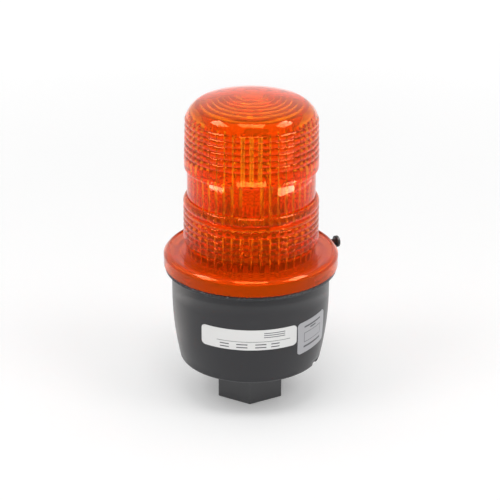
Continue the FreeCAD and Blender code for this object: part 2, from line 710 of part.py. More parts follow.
def make_dome_lock_screw():
    tip = COLLAR_RADIUS + SCREW_TIP_CLEARANCE
    seat = FLANGE_RADIUS + SCREW_STANDOFF
    shank = radial_rod(SCREW_RADIUS, tip, seat)
    head = radial_rod(SCREW_HEAD_RADIUS, seat, seat + SCREW_HEAD_THICKNESS)
    rim = [edge for edge in head.Edges if edge.Length > 2 * SCREW_HEAD_RADIUS]
    outer_rim = max(rim, key=lambda edge: math.hypot(edge.CenterOfMass.x, edge.CenterOfMass.y))
    head = head.makeFillet(SCREW_HEAD_ROUNDING, [outer_rim])
    slot = Part.makeBox(SCREW_SLOT_DEPTH, SCREW_SLOT_WIDTH, 2 * SCREW_HEAD_RADIUS, FreeCAD.Vector(
        seat + SCREW_HEAD_THICKNESS - SCREW_SLOT_DEPTH, -SCREW_SLOT_WIDTH / 2,
        LOCK_SCREW_Z - SCREW_HEAD_RADIUS))
    return joined([shank, head]).cut(turn(slot, SCREW_AZIMUTH))


# Circuit board

def make_circuit_board():
    board = rod(BOARD_RADIUS, BOARD_BOTTOM, BOARD_TOP)
    hole = rod(SMALL_SCREW_RADIUS + THREAD_CLEARANCE, BOARD_BOTTOM, BOARD_TOP, POST_CIRCLE_RADIUS)
    column_hole = rod(SMALL_SCREW_RADIUS + THREAD_CLEARANCE, BOARD_BOTTOM, BOARD_TOP, COLUMN_SCREW_OFFSET)
    cuts = around(hole, POST_COUNT, POST_FIRST_AZIMUTH)
    cuts += around(column_hole, 2, COLUMN_SCREW_AZIMUTH)
    return board.cut(Part.makeCompound(cuts))


def small_screw(seat, bite, x):
    """Round-headed screw, pointing down, whose head stands on a height."""
    head = rod(SMALL_SCREW_HEAD_RADIUS, seat, seat + SMALL_SCREW_HEAD, x)
    shank = rod(SMALL_SCREW_RADIUS, seat - bite, seat, x)
    return joined([head, shank])


def make_board_screws():
    screw = small_screw(BOARD_TOP, BOARD_THICKNESS + SMALL_SCREW_BITE, POST_CIRCLE_RADIUS)
    return group(around(screw, POST_COUNT, POST_FIRST_AZIMUTH))


def make_socket_column():
    foot = rod(COLUMN_FOOT_RADIUS, BOARD_TOP, BOARD_TOP + COLUMN_FOOT_THICKNESS)
    stem = rod(COLUMN_RADIUS, BOARD_TOP, COLUMN_TOP)
    rib_profile = [
        FreeCAD.Vector(0, -COLUMN_RIB_THICKNESS / 2, BOARD_TOP),
        FreeCAD.Vector(COLUMN_FOOT_RADIUS, -COLUMN_RIB_THICKNESS / 2, BOARD_TOP),
        FreeCAD.Vector(COLUMN_RADIUS, -COLUMN_RIB_THICKNESS / 2, COLUMN_TOP),
        FreeCAD.Vector(0, -COLUMN_RIB_THICKNESS / 2, COLUMN_TOP),
        FreeCAD.Vector(0, -COLUMN_RIB_THICKNESS / 2, BOARD_TOP),
    ]
    rib = Part.Face(Part.makePolygon(rib_profile)).extrude(FreeCAD.Vector(0, COLUMN_RIB_THICKNESS, 0))
    column = joined([foot, stem] + around(rib, COLUMN_RIBS))
    hole = rod(SMALL_SCREW_RADIUS + THREAD_CLEARANCE, BOARD_TOP, BOARD_TOP + COLUMN_FOOT_THICKNESS,
               COLUMN_SCREW_OFFSET)
    return column.cut(Part.makeCompound(around(hole, 2, COLUMN_SCREW_AZIMUTH)))


def make_column_screws():
    seat = BOARD_TOP + COLUMN_FOOT_THICKNESS
    screw = small_screw(seat, COLUMN_FOOT_THICKNESS + BOARD_THICKNESS, COLUMN_SCREW_OFFSET)
    return group(around(screw, 2, COLUMN_SCREW_AZIMUTH))


# Socket and flash tube

def make_tube_socket():
    body = rod(SOCKET_RADIUS, COLUMN_TOP, SOCKET_TOP)
    hole = rod(PIN_RADIUS + PIN_CLEARANCE + CONTACT_WALL + THREAD_CLEARANCE, SOCKET_TOP - PIN_LENGTH,
               SOCKET_TOP, PIN_CIRCLE_RADIUS)
    return body.cut(Part.makeCompound(around(hole, PIN_COUNT)))


def make_socket_contacts():
    inner = PIN_RADIUS + PIN_CLEARANCE
    sleeve = tube(inner + CONTACT_WALL, inner, SOCKET_TOP - PIN_LENGTH, SOCKET_TOP, PIN_CIRCLE_RADIUS)
    return group(around(sleeve, PIN_COUNT))


def make_tube_pins():
    pin = rod(PIN_RADIUS, SOCKET_TOP - PIN_LENGTH, SOCKET_TOP, PIN_CIRCLE_RADIUS)
    return group(around(pin, PIN_COUNT))


def make_tube_base():
    return turned([
        (0, SOCKET_TOP),
        (TUBE_BASE_RADIUS, SOCKET_TOP),
        (TUBE_BASE_RADIUS, PLUG_TOP - TUBE_BASE_EDGE),
        (TUBE_BASE_RADIUS - TUBE_BASE_EDGE, PLUG_TOP),
        (0, PLUG_TOP),
    ])


def make_flash_tube():
    bottom = PLUG_TOP + END_CAP_FLOOR
    return tube(TUBE_RADIUS, TUBE_RADIUS - TUBE_GLASS, bottom, TUBE_TOP - END_CAP_FLOOR)


def make_tube_end_caps():
    cup = turned([
        (0, PLUG_TOP),
        (END_CAP_RADIUS, PLUG_TOP),
        (END_CAP_RADIUS, PLUG_TOP + END_CAP_HEIGHT),
        (TUBE_RADIUS + TUBE_FIT, PLUG_TOP + END_CAP_HEIGHT),
        (TUBE_RADIUS + TUBE_FIT, PLUG_TOP + END_CAP_FLOOR),
        (0, PLUG_TOP + END_CAP_FLOOR),
    ])
    top_cup = cup.mirror(FreeCAD.Vector(0, 0, (PLUG_TOP + TUBE_TOP) / 2), FreeCAD.Vector(0, 0, 1))
    return group([cup, top_cup])


def make_tube_electrodes():
    low = PLUG_TOP + END_CAP_FLOOR
    high = TUBE_TOP - END_CAP_FLOOR
    lower = rod(ELECTRODE_RADIUS, low, low + ELECTRODE_LENGTH)
    upper = rod(ELECTRODE_RADIUS, high - ELECTRODE_LENGTH, high)
    return group([lower, upper])


def make_return_rod():
    upright = rod(ROD_RADIUS, PLUG_TOP, TUBE_TOP + STRAP_THICKNESS, ROD_OFFSET)
    strap = block(ROD_OFFSET, STRAP_WIDTH, TUBE_TOP, TUBE_TOP + STRAP_THICKNESS, ROD_OFFSET / 2)
    end = rod(STRAP_WIDTH / 2, TUBE_TOP, TUBE_TOP + STRAP_THICKNESS)
    far_end = rod(STRAP_WIDTH / 2, TUBE_TOP, TUBE_TOP + STRAP_THICKNESS, ROD_OFFSET)
    return joined([upright, strap, end, far_end])


def make_trigger_bands():
    inner = TUBE_RADIUS + TUBE_FIT
    outer = inner + BAND_THICKNESS
    middle = (PLUG_TOP + TUBE_TOP) / 2
    low = middle - BAND_SPACING * (BAND_COUNT - 1) / 2
    pieces = []
    for index in range(BAND_COUNT):
        height = low + index * BAND_SPACING
        pieces.append(tube(outer, inner, height - BAND_WIDTH / 2, height + BAND_WIDTH / 2))
    high = low + BAND_SPACING * (BAND_COUNT - 1)
    lead = block(BAND_THICKNESS, BAND_WIDTH, low, high, -(outer - BAND_THICKNESS / 4))
    pieces.append(lead)
    return joined(pieces)


# Parts on the board, each made on the X axis and turned to its place

def on_board(shape, distance, azimuth):
    """Shape made about the Z axis, moved out along X and turned to its azimuth."""
    moved = shape.copy()
    moved.translate(FreeCAD.Vector(distance, 0, 0))
    return turn(moved, azimuth)


def make_storage_capacitor():
    top = BOARD_TOP + CAN_HEIGHT
    groove = BOARD_TOP + CAN_GROOVE_HEIGHT
    can = turned([
        (0, BOARD_TOP),
        (CAN_RADIUS, BOARD_TOP),
        (CAN_RADIUS, groove - CAN_GROOVE_DEPTH),
        (CAN_RADIUS - CAN_GROOVE_DEPTH, groove),
        (CAN_RADIUS, groove + CAN_GROOVE_DEPTH),
        (CAN_RADIUS, top - CAN_GROOVE_DEPTH),
        (CAN_RADIUS - CAN_GROOVE_DEPTH, top),
        (0, top),
    ])
    return on_board(can, CAN_DISTANCE, CAN_AZIMUTH)


def make_transformer_core():
    outer = block(CORE_DEPTH, CORE_WIDTH, BOARD_TOP, BOARD_TOP + CORE_HEIGHT)
    window_width = (CORE_WIDTH - 2 * CORE_LEG - CORE_CENTRE_LEG) / 2
    window_middle = (CORE_CENTRE_LEG + window_width) / 2
    windows = []
    for side in (-1, 1):
        windows.append(block(CORE_DEPTH, window_width, BOARD_TOP + CORE_LEG,
                             BOARD_TOP + CORE_HEIGHT - CORE_LEG, 0, side * window_middle))
    core = outer.cut(Part.makeCompound(windows))
    return on_board(core, TRANSFORMER_DISTANCE, TRANSFORMER_AZIMUTH)


def make_transformer_winding():
    width = CORE_WIDTH - 2 * CORE_LEG - 2 * WINDING_CLEARANCE
    bottom = BOARD_TOP + CORE_LEG + WINDING_CLEARANCE
    top = BOARD_TOP + CORE_HEIGHT - CORE_LEG - WINDING_CLEARANCE
    outer = block(WINDING_DEPTH, width, bottom, top)
    upright = [edge for edge in outer.Edges if abs(edge.Length - (top - bottom)) < MATCH]
    outer = outer.makeFillet(width / 4, upright)
    leg = block(CORE_DEPTH + 2 * WINDING_CLEARANCE, CORE_CENTRE_LEG + 2 * WINDING_CLEARANCE, bottom, top)
    return on_board(outer.cut(leg), TRANSFORMER_DISTANCE, TRANSFORMER_AZIMUTH)


def make_trigger_coil():
    top = BOARD_TOP + COIL_HEIGHT
    neck = COIL_RADIUS - COIL_NECK
    coil = turned([
        (0, BOARD_TOP),
        (COIL_RADIUS, BOARD_TOP),
        (COIL_RADIUS, BOARD_TOP + COIL_FLANGE),
        (neck, BOARD_TOP + COIL_FLANGE),
        (neck, top - COIL_FLANGE),
        (COIL_RADIUS, top - COIL_FLANGE),
        (COIL_RADIUS, top),
        (0, top),
    ])
    return on_board(coil, COIL_DISTANCE, COIL_AZIMUTH)


def make_trigger_capacitor():
    body = block(FILM_DEPTH, FILM_WIDTH, BOARD_TOP, BOARD_TOP + FILM_HEIGHT)
    upper = [edge for edge in body.Edges if edge.CenterOfMass.z > BOARD_TOP + FILM_HEIGHT - MATCH]
    body = body.makeChamfer(FILM_BEVEL, upper)
    return on_board(body, FILM_DISTANCE, FILM_AZIMUTH)


def make_heat_sink():
    sheet = block(SINK_SHEET, SINK_WIDTH, BOARD_TOP, BOARD_TOP + SINK_HEIGHT, SINK_SHEET / 2)
    foot = block(SINK_FOOT, SINK_WIDTH, BOARD_TOP, BOARD_TOP + SINK_SHEET, -SINK_FOOT / 2 + SINK_SHEET)
    bent = joined([sheet, foot])
    screw_height = BOARD_TOP + TAB_LIFT + TAB_HEIGHT - TAB_HOLE_DROP
    hole = lying_rod(SMALL_SCREW_RADIUS + THREAD_CLEARANCE, 0, SINK_SHEET, 0, screw_height)
    foot_cut = block(SINK_FOOT, TAB_WIDTH + 2 * SINK_FOOT_GAP, BOARD_TOP, BOARD_TOP + SINK_SHEET,
                     -SINK_FOOT / 2)
    return on_board(bent.cut(Part.makeCompound([hole, foot_cut])), SINK_DISTANCE, SINK_AZIMUTH)


def make_power_transistor():
    bottom = BOARD_TOP + TAB_LIFT
    tab = block(TAB_SHEET, TAB_WIDTH, bottom, bottom + TAB_HEIGHT, -TAB_SHEET / 2)
    body = block(TAB_BODY_DEPTH, TAB_WIDTH, bottom, bottom + TAB_BODY_HEIGHT,
                 -TAB_SHEET - TAB_BODY_DEPTH / 2)
    legs = []
    for side in (-1, 0, 1):
        legs.append(block(TAB_SHEET / 2, TAB_LEG_WIDTH, BOARD_TOP, bottom,
                          -TAB_SHEET - TAB_BODY_DEPTH / 2, side * TAB_LEG_SPACING))
    hole_height = bottom + TAB_HEIGHT - TAB_HOLE_DROP
    hole = lying_rod(SMALL_SCREW_RADIUS + THREAD_CLEARANCE, -TAB_SHEET, 0, 0, hole_height)
    whole = joined([tab, body] + legs).cut(hole)
    return on_board(whole, SINK_DISTANCE, SINK_AZIMUTH)


def make_transistor_screw():
    height = BOARD_TOP + TAB_LIFT + TAB_HEIGHT - TAB_HOLE_DROP
    shank = lying_rod(SMALL_SCREW_RADIUS, -TAB_SHEET, SINK_SHEET + SMALL_SCREW_HEAD, 0, height)
    head = lying_rod(SMALL_SCREW_HEAD_RADIUS, -TAB_SHEET - SMALL_SCREW_HEAD, -TAB_SHEET, 0, height)
    nut = lying_rod(SMALL_SCREW_HEAD_RADIUS, SINK_SHEET, SINK_SHEET + SMALL_SCREW_HEAD, 0, height)
    return on_board(joined([shank, head, nut]), SINK_DISTANCE, SINK_AZIMUTH)


def way_offsets():
    """Sideways place of each way of the terminal block."""
    return [(index - (BLOCK_WAYS - 1) / 2) * BLOCK_PITCH for index in range(BLOCK_WAYS)]


def make_terminal_block():
    top = BOARD_TOP + BLOCK_HEIGHT
    body = block(BLOCK_DEPTH, BLOCK_WAYS * BLOCK_PITCH, BOARD_TOP, top)
    cuts = []
    for offset in way_offsets():
        cuts.append(block(BLOCK_PORT_DEPTH, BLOCK_PORT_WIDTH, BOARD_TOP + BLOCK_PORT_LIFT,
                          BOARD_TOP + BLOCK_PORT_LIFT + BLOCK_PORT_HEIGHT,
                          -(BLOCK_DEPTH - BLOCK_PORT_DEPTH) / 2, offset))
        cuts.append(rod(BLOCK_SCREW_RADIUS + THREAD_CLEARANCE, top - BLOCK_SCREW_HEIGHT, top, 0, offset))
    return on_board(body.cut(Part.makeCompound(cuts)), BLOCK_DISTANCE, BLOCK_AZIMUTH)


def make_terminal_screws():
    top = BOARD_TOP + BLOCK_HEIGHT
    screws = []
    for offset in way_offsets():
        screw = rod(BLOCK_SCREW_RADIUS, top - BLOCK_SCREW_HEIGHT, top, 0, offset)
        slot = block(2 * BLOCK_SCREW_RADIUS, BLOCK_SCREW_RADIUS / 3, top - BLOCK_SCREW_HEIGHT / 3, top,
                     0, offset)
        screws.append(on_board(screw.cut(slot), BLOCK_DISTANCE, BLOCK_AZIMUTH))
    return group(screws)


def make_fuse():
    height = BOARD_TOP + FUSE_LIFT + FUSE_RADIUS
    body = Part.makeCylinder(FUSE_RADIUS, FUSE_LENGTH, FreeCAD.Vector(0, -FUSE_LENGTH / 2, height),
                             FreeCAD.Vector(0, 1, 0))
    return on_board(body, FUSE_DISTANCE, FUSE_AZIMUTH)


def make_fuse_clips():
    height = BOARD_TOP + FUSE_LIFT + FUSE_RADIUS
    outer = FUSE_RADIUS + THREAD_CLEARANCE + FUSE_CLIP_SHEET
    clips = []
    for side in (-1, 1):
        middle = side * (FUSE_LENGTH - FUSE_CLIP_WIDTH) / 2
        saddle = block(2 * outer, FUSE_CLIP_WIDTH, BOARD_TOP, height + FUSE_RADIUS / 2, 0, middle)
        seat = Part.makeCylinder(FUSE_RADIUS + THREAD_CLEARANCE, FUSE_CLIP_WIDTH, FreeCAD.Vector(
            0, middle - FUSE_CLIP_WIDTH / 2, height), FreeCAD.Vector(0, 1, 0))
        clips.append(on_board(saddle.cut(seat), FUSE_DISTANCE, FUSE_AZIMUTH))
    return group(clips)


def make_surge_varistor():
    disc = Part.makeCylinder(DISC_RADIUS, DISC_THICKNESS, FreeCAD.Vector(
        -DISC_THICKNESS / 2, 0, BOARD_TOP + DISC_RADIUS), FreeCAD.Vector(1, 0, 0))
    return on_board(disc, DISC_DISTANCE, DISC_AZIMUTH)


def row_of_rods(count, radius, length, pitch, distance, azimuth):
    """Small cylinders lying side by side on the board, each pointing at the axis."""
    bodies = []
    for index in range(count):
        offset = (index - (count - 1) / 2) * pitch
        body = lying_rod(radius, -length / 2, length / 2, offset, BOARD_TOP + radius)
        bodies.append(on_board(body, distance, azimuth))
    return group(bodies)


def make_rectifier_diodes():
    return row_of_rods(DIODE_COUNT, DIODE_RADIUS, DIODE_LENGTH, DIODE_PITCH, DIODE_DISTANCE, DIODE_AZIMUTH)


def make_resistors():
    return row_of_rods(RESISTOR_COUNT, RESISTOR_RADIUS, RESISTOR_LENGTH, RESISTOR_PITCH,
                       RESISTOR_DISTANCE, RESISTOR_AZIMUTH)


# Labels

def wall_sheet(bottom, top):
    """Thin turned sheet that lies on the base's outer wall between two heights."""
    middle = (bottom + top) / 2
    lift = LABEL_THICKNESS
    return turned([
        (base_wall_radius(bottom), bottom, base_wall_radius(middle), middle),
        (base_wall_radius(bottom) + lift, bottom),
        (base_wall_radius(top) + lift, top, base_wall_radius(middle) + lift, middle),
        (base_wall_radius(top), top),
    ])


def label(azimuth, angle, height, middle, tilt):
    """Rounded rectangle cut out of a sheet on the wall, tilted in its own plane."""
    centre = FLOOR_BOTTOM + middle
    reach = base_wall_radius(centre)
    width = 2 * reach * math.sin(math.radians(angle / 2))
    margin = width * math.sin(math.radians(tilt)) / 2
    sheet = wall_sheet(centre - height / 2 - margin, centre + height / 2 + margin)
    stamp = Part.makeBox(2 * reach, width, height, FreeCAD.Vector(
        reach * math.cos(math.radians(angle)), -width / 2, centre - height / 2))
    along = [edge for edge in stamp.Edges if abs(edge.Length - 2 * reach) < MATCH]
    stamp = stamp.makeFillet(LABEL_CORNER, along)
    stamp.rotate(FreeCAD.Vector(0, 0, centre), FreeCAD.Vector(1, 0, 0), tilt)
    return turn(sheet, 180).common(turn(stamp, azimuth))


def make_front_label():
    return label(FRONT_LABEL_AZIMUTH, FRONT_LABEL_ANGLE, FRONT_LABEL_HEIGHT, FRONT_LABEL_MIDDLE, 0.0)


def make_side_label():
    return label(SIDE_LABEL_AZIMUTH, SIDE_LABEL_ANGLE, SIDE_LABEL_HEIGHT, SIDE_LABEL_MIDDLE,
                 SIDE_LABEL_TILT)


PARTS = {
    "dome_lens": make_dome_lens,
    "lock_screw_insert": make_lock_screw_insert,
    "dome_lock_screw": make_dome_lock_screw,
    "dome_gasket": make_dome_gasket,
    "base_housing": make_base_housing,
    "pipe_hub": make_pipe_hub,
    "hub_gasket": make_hub_gasket,
    "hub_locknut": make_hub_locknut,
    "circuit_board": make_circuit_board,
    "board_screws": make_board_screws,
    "socket_column": make_socket_column,
    "column_screws": make_column_screws,
    "tube_socket": make_tube_socket,
    "socket_contacts": make_socket_contacts,
    "tube_base": make_tube_base,
    "tube_pins": make_tube_pins,
    "flash_tube": make_flash_tube,
    "tube_end_caps": make_tube_end_caps,
    "tube_electrodes": make_tube_electrodes,
    "return_rod": make_return_rod,
    "trigger_bands": make_trigger_bands,
    "storage_capacitor": make_storage_capacitor,
    "transformer_core": make_transformer_core,
    "transformer_winding": make_transformer_winding,
    "trigger_coil": make_trigger_coil,
    "trigger_capacitor": make_trigger_capacitor,
    "power_transistor": make_power_transistor,
    "heat_sink": make_heat_sink,
    "transistor_screw": make_transistor_screw,
    "terminal_block": make_terminal_block,
    "terminal_screws": make_terminal_screws,
    "fuse": make_fuse,
    "fuse_clips": make_fuse_clips,
    "surge_varistor": make_surge_varistor,
    "rectifier_diodes": make_rectifier_diodes,
    "resistors": make_resistors,
    "front_label": make_front_label,
    "side_label": make_side_label,
}


def main():
    os.makedirs("parts", exist_ok=True)
    for name, make in PARTS.items():
        shape = make()
        shape.exportStep("parts/" + name + ".step")
        print(name, "solids", len(shape.Solids), "volume", round(shape.Volume, 1), shape.isValid())


main()
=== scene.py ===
# %% [markdown]
# # A pipe-mounted strobe light
# The lamp is an amber ribbed dome on a black pot-shaped base, over a hexagonal hub. Its
# construction comes in as a fixed frame, in metres, and this script dresses it: first the
# camera and the light, then the finishes, then the pieces that need a finer mesh.

# %% Load the frame
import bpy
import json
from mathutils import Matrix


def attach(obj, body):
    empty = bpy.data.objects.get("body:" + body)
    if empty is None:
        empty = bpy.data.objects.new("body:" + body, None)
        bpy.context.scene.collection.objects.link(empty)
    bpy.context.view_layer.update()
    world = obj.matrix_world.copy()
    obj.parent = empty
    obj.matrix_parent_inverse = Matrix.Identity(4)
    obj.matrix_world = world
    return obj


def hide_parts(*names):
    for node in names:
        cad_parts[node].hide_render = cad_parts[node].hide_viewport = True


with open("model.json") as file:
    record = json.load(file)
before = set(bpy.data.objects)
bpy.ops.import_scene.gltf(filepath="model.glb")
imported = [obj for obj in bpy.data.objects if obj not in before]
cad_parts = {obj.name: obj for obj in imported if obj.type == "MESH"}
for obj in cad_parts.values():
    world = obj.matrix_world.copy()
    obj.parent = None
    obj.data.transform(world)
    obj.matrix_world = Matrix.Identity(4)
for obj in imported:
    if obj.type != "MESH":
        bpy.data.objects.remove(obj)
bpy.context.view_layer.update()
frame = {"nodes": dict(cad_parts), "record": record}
nodes = frame["nodes"]
MM = 0.001

# %% Helpers for the rest of the script
import json
import math

import bpy
from mathutils import Matrix, Vector


def deselect_everything():
    """Operators act on all that is selected, and loading leaves the nodes selected."""
    if bpy.context.object and bpy.context.object.mode != "OBJECT":
        bpy.ops.object.mode_set(mode="OBJECT")
    bpy.ops.object.select_all(action="DESELECT")


def make_active(thing):
    """Selects one object alone, so that the next operator works on it."""
    deselect_everything()
    bpy.context.view_layer.objects.active = thing
    thing.select_set(True)


def single_vertex(name, place):
    """New mesh of one vertex, in edit mode: a tiny plane merged at its centre."""
    deselect_everything()
    bpy.ops.mesh.primitive_plane_add(size=0.001, location=place)
    made = bpy.context.object
    made.name = name
    bpy.ops.object.transform_apply(location=True, rotation=True, scale=True)
    bpy.ops.object.mode_set(mode="EDIT")
    bpy.ops.mesh.select_mode(type="VERT")
    bpy.ops.mesh.select_all(action="SELECT")
    bpy.ops.mesh.merge(type="CENTER")
    return made


def dress(thing, material):
    """Gives an object one material, in place of what it had."""
    thing.data.materials.clear()
    thing.data.materials.append(material)


deselect_everything()

# %% [markdown]
# ## Camera
# The photograph looks down on the lamp by about 23 degrees, from far enough that upright
# walls hardly converge. A camera could be placed by eye, but its distance, height and
# focal length were worked out from the rings and the hexagon, so they are given as sizes.

# %% Camera at the photograph's viewing angle
CAMERA_DISTANCE = 0.8618
CAMERA_ELEVATION = math.radians(23.18)
CAMERA_TARGET_HEIGHT = 0.0764
CAMERA_ROLL = math.radians(0.40)
CAMERA_SHIFT = -0.0018
FOCAL_LENGTH_MM = 125.84
SENSOR_WIDTH_MM = 36.0

camera_data = bpy.data.cameras.new("view_camera")
camera_data.sensor_width = SENSOR_WIDTH_MM
camera_data.lens = FOCAL_LENGTH_MM
camera_data.shift_x = CAMERA_SHIFT
camera = bpy.data.objects.new("view_camera", camera_data)
bpy.context.scene.collection.objects.link(camera)
tilt = Matrix.Rotation(math.pi / 2 - CAMERA_ELEVATION, 4, "X") @ Matrix.Rotation(CAMERA_ROLL, 4, "Z")
place = Vector((
    0,
    -CAMERA_DISTANCE * math.cos(CAMERA_ELEVATION),
    CAMERA_TARGET_HEIGHT + CAMERA_DISTANCE * math.sin(CAMERA_ELEVATION),
))
camera.matrix_world = Matrix.Translation(place) @ tilt
bpy.context.scene.camera = camera
print("camera at", [round(value, 3) for value in place])

# %% [markdown]
# ## Studio
# The lamp stands in a white room. Its world is plain white where the camera, a reflection
# or the clear plastic looks at it, so metal, glass and lens all show the same background.
# It lights matt surfaces a little less, which leaves room for the lamps to shape them.

# %% Helpers for shader nodes
def add_node(tree, kind, **inputs):
    """Adds a shader node and sets the inputs that are named."""
    made = tree.nodes.new(kind)
    for name, value in inputs.items():
        made.inputs[name.replace("_", " ")].default_value = value
    return made


def maths(tree, operation, first, second=0.0, third=0.0):
    """Adds a Math node; each operand is a number or an output of another node."""
    made = tree.nodes.new("ShaderNodeMath")
    made.operation = operation
    for slot, operand in enumerate((first, second, third)):
        if isinstance(operand, (int, float)):
            made.inputs[slot].default_value = operand
        else:
            tree.links.new(operand, made.inputs[slot])
    return made.outputs[0]


def between(tree, value, low, high, at_low=0.0, at_high=1.0):
    """Smooth step of a value from one number to another."""
    made = add_node(tree, "ShaderNodeMapRange",
                    From_Min=low, From_Max=high, To_Min=at_low, To_Max=at_high)
    made.interpolation_type = "SMOOTHSTEP"
    tree.links.new(value, made.inputs["Value"])
    return made.outputs["Result"]


def looked_at(tree):
    """One for a ray of the camera, a mirrored ray or one that goes through clear plastic."""
    rays = tree.nodes.new("ShaderNodeLightPath")
    either = maths(tree, "MAXIMUM", rays.outputs["Is Camera Ray"], rays.outputs["Is Glossy Ray"])
    return maths(tree, "MAXIMUM", either, rays.outputs["Is Transmission Ray"])


def place_on_object(tree):
    """X, Y and Z of the object's own coordinates, in metres."""
    where = tree.nodes.new("ShaderNodeTexCoord")
    parts = tree.nodes.new("ShaderNodeSeparateXYZ")
    tree.links.new(where.outputs["Object"], parts.inputs[0])
    return parts.outputs


def blended(tree, share, first, second):
    """Colour between two others, by a share from 0 to 1."""
    blend = tree.nodes.new("ShaderNodeMix")
    blend.data_type = "RGBA"
    tree.links.new(share, blend.inputs[0])
    blend.inputs[6].default_value = (*first, 1.0)
    blend.inputs[7].default_value = (*second, 1.0)
    return blend.outputs[2]


# %% World: white to look at, a little dimmer as light
AMBIENT = 0.68
WHITE = (1.0, 1.0, 1.0, 1.0)

world = bpy.data.worlds.new("studio_world")
bpy.context.scene.world = world
world.use_nodes = True
tree = world.node_tree
tree.nodes.clear()
strength = maths(tree, "MULTIPLY_ADD", looked_at(tree), 1.0 - AMBIENT, AMBIENT)
background = add_node(tree, "ShaderNodeBackground", Color=WHITE)
tree.links.new(strength, background.inputs["Strength"])
world_out = tree.nodes.new("ShaderNodeOutputWorld")
tree.links.new(background.outputs[0], world_out.inputs["Surface"])
bpy.context.scene.view_settings.view_transform = "Standard"
print("world: ambient", AMBIENT, "and white to look at")

# %% [markdown]
# ## Floor
# A plain table. It could be a white cut-out with no shadow, but then the lamp would seem
# to float. So it is lit as any surface is, which keeps the shadow, and a little light of
# its own lifts it to white. The lift is the same for the camera, in reflections and
# through the lens, and it grows with the distance from the lamp.

# %% Floor
FLOOR_SIZE = 8.0
FLOOR_LIFT = 0.18
FLOOR_LIFT_FAR = 0.7
FLOOR_WHITE = (0.86, 0.86, 0.86, 1.0)
FLOOR_DROP = 0.0002
LIFT_GROWS_FROM = 0.2
LIFT_GROWS_TO = 1.5

deselect_everything()
bpy.ops.mesh.primitive_plane_add(size=FLOOR_SIZE, location=(0, 0, -FLOOR_DROP))
floor = bpy.context.object
floor.name = "table_top"
bpy.ops.object.transform_apply(location=True, rotation=True, scale=True)
table_white = bpy.data.materials.new("table_white")
table_white.use_nodes = True
tree = table_white.node_tree
tree.nodes.clear()
where = tree.nodes.new("ShaderNodeTexCoord")
away = tree.nodes.new("ShaderNodeVectorMath")
away.operation = "LENGTH"
tree.links.new(where.outputs["Object"], away.inputs[0])
shown = between(tree, away.outputs["Value"], LIFT_GROWS_FROM, LIFT_GROWS_TO, FLOOR_LIFT, FLOOR_LIFT_FAR)
lift = maths(tree, "MULTIPLY", looked_at(tree), shown)
matt = add_node(tree, "ShaderNodeBsdfDiffuse", Color=FLOOR_WHITE)
glow = add_node(tree, "ShaderNodeEmission", Color=WHITE)
tree.links.new(lift, glow.inputs["Strength"])
lit = tree.nodes.new("ShaderNodeAddShader")
tree.links.new(matt.outputs[0], lit.inputs[0])
tree.links.new(glow.outputs[0], lit.inputs[1])
floor_out = tree.nodes.new("ShaderNodeOutputMaterial")
tree.links.new(lit.outputs[0], floor_out.inputs["Surface"])
floor.data.materials.append(table_white)
print("floor", FLOOR_SIZE, "m square, lifted by", FLOOR_LIFT)

# %% [markdown]
# ## Lights
# Three soft panels hang over the lamp and one stands in front, as in a small product
# studio. A single lamp would be simpler, but it would leave one side of the black base
# without form. The panels are left out of reflections, where the windows further down
# stand in for them and can be placed freely.

# %% Overhead panels, and a weak one in front
PANEL_HEIGHT = 1.1
PANEL_FORWARD = -0.35
PANEL_ASIDE = 0.60
PANEL_SIDE = 0.36
SIDE_PANEL_DROP = 0.1
PANEL_POWER = 1.6
FRONT_PLACE = (-0.10, -1.30, 0.54)
FRONT_POWER = 1.5
FRONT_WIDTH = 0.30
FRONT_DEPTH = 0.22
LAMP_MIDDLE = (0.0, 0.0, 0.08)


def panel(name, middle, width, depth, power):
    """Rectangular soft lamp that faces the middle of the strobe light."""
    data = bpy.data.lights.new(name, "AREA")
    data.shape = "RECTANGLE"
    data.size = width
    data.size_y = depth
    data.energy = power
    lamp = bpy.data.objects.new(name, data)
    bpy.context.scene.collection.objects.link(lamp)
    facing = (Vector(LAMP_MIDDLE) - Vector(middle)).to_track_quat("-Z", "Y")
    lamp.matrix_world = Matrix.Translation(Vector(middle)) @ facing.to_matrix().to_4x4()
    lamp.visible_camera = False
    lamp.visible_glossy = False


side_height = PANEL_HEIGHT - SIDE_PANEL_DROP
panel("panel_left", (-PANEL_ASIDE, PANEL_FORWARD, side_height), PANEL_SIDE, PANEL_SIDE, PANEL_POWER)
panel("panel_middle", (0.0, PANEL_FORWARD, PANEL_HEIGHT), PANEL_SIDE, PANEL_SIDE, PANEL_POWER)
panel("panel_right", (PANEL_ASIDE, PANEL_FORWARD, side_height), PANEL_SIDE, PANEL_SIDE, PANEL_POWER)
panel("panel_front", FRONT_PLACE, FRONT_WIDTH, FRONT_DEPTH, FRONT_POWER)
print("three panels at", PANEL_HEIGHT, "m and one in front")

# %% [markdown]
# The windows that the smooth band of the lens mirrors lie low in front of the lamp. They
# are cut here as arcs of white card that lie on the table, and three more hang overhead.
# All are seen only in reflections, so that they put no light on the black base. They are
# bright because the lens mirrors only a small share of what it faces.

# %% White cards, seen only in reflections
CARD_STEPS = 12
WINDOW_WHITE = (1.0, 0.97, 0.95, 1.0)


def only_mirrored(thing, strength):
    """Makes a thing glow for reflections, and for nothing else."""
    glow = bpy.data.materials.new(thing.name + "_glow")
    glow.use_nodes = True
    glow.node_tree.nodes.clear()
    shine = add_node(glow.node_tree, "ShaderNodeEmission", Color=WINDOW_WHITE, Strength=strength)
    out = glow.node_tree.nodes.new("ShaderNodeOutputMaterial")
    glow.node_tree.links.new(shine.outputs[0], out.inputs["Surface"])
    thing.data.materials.append(glow)
    thing.visible_camera = False
    thing.visible_diffuse = False
    thing.visible_transmission = False
    thing.visible_shadow = False


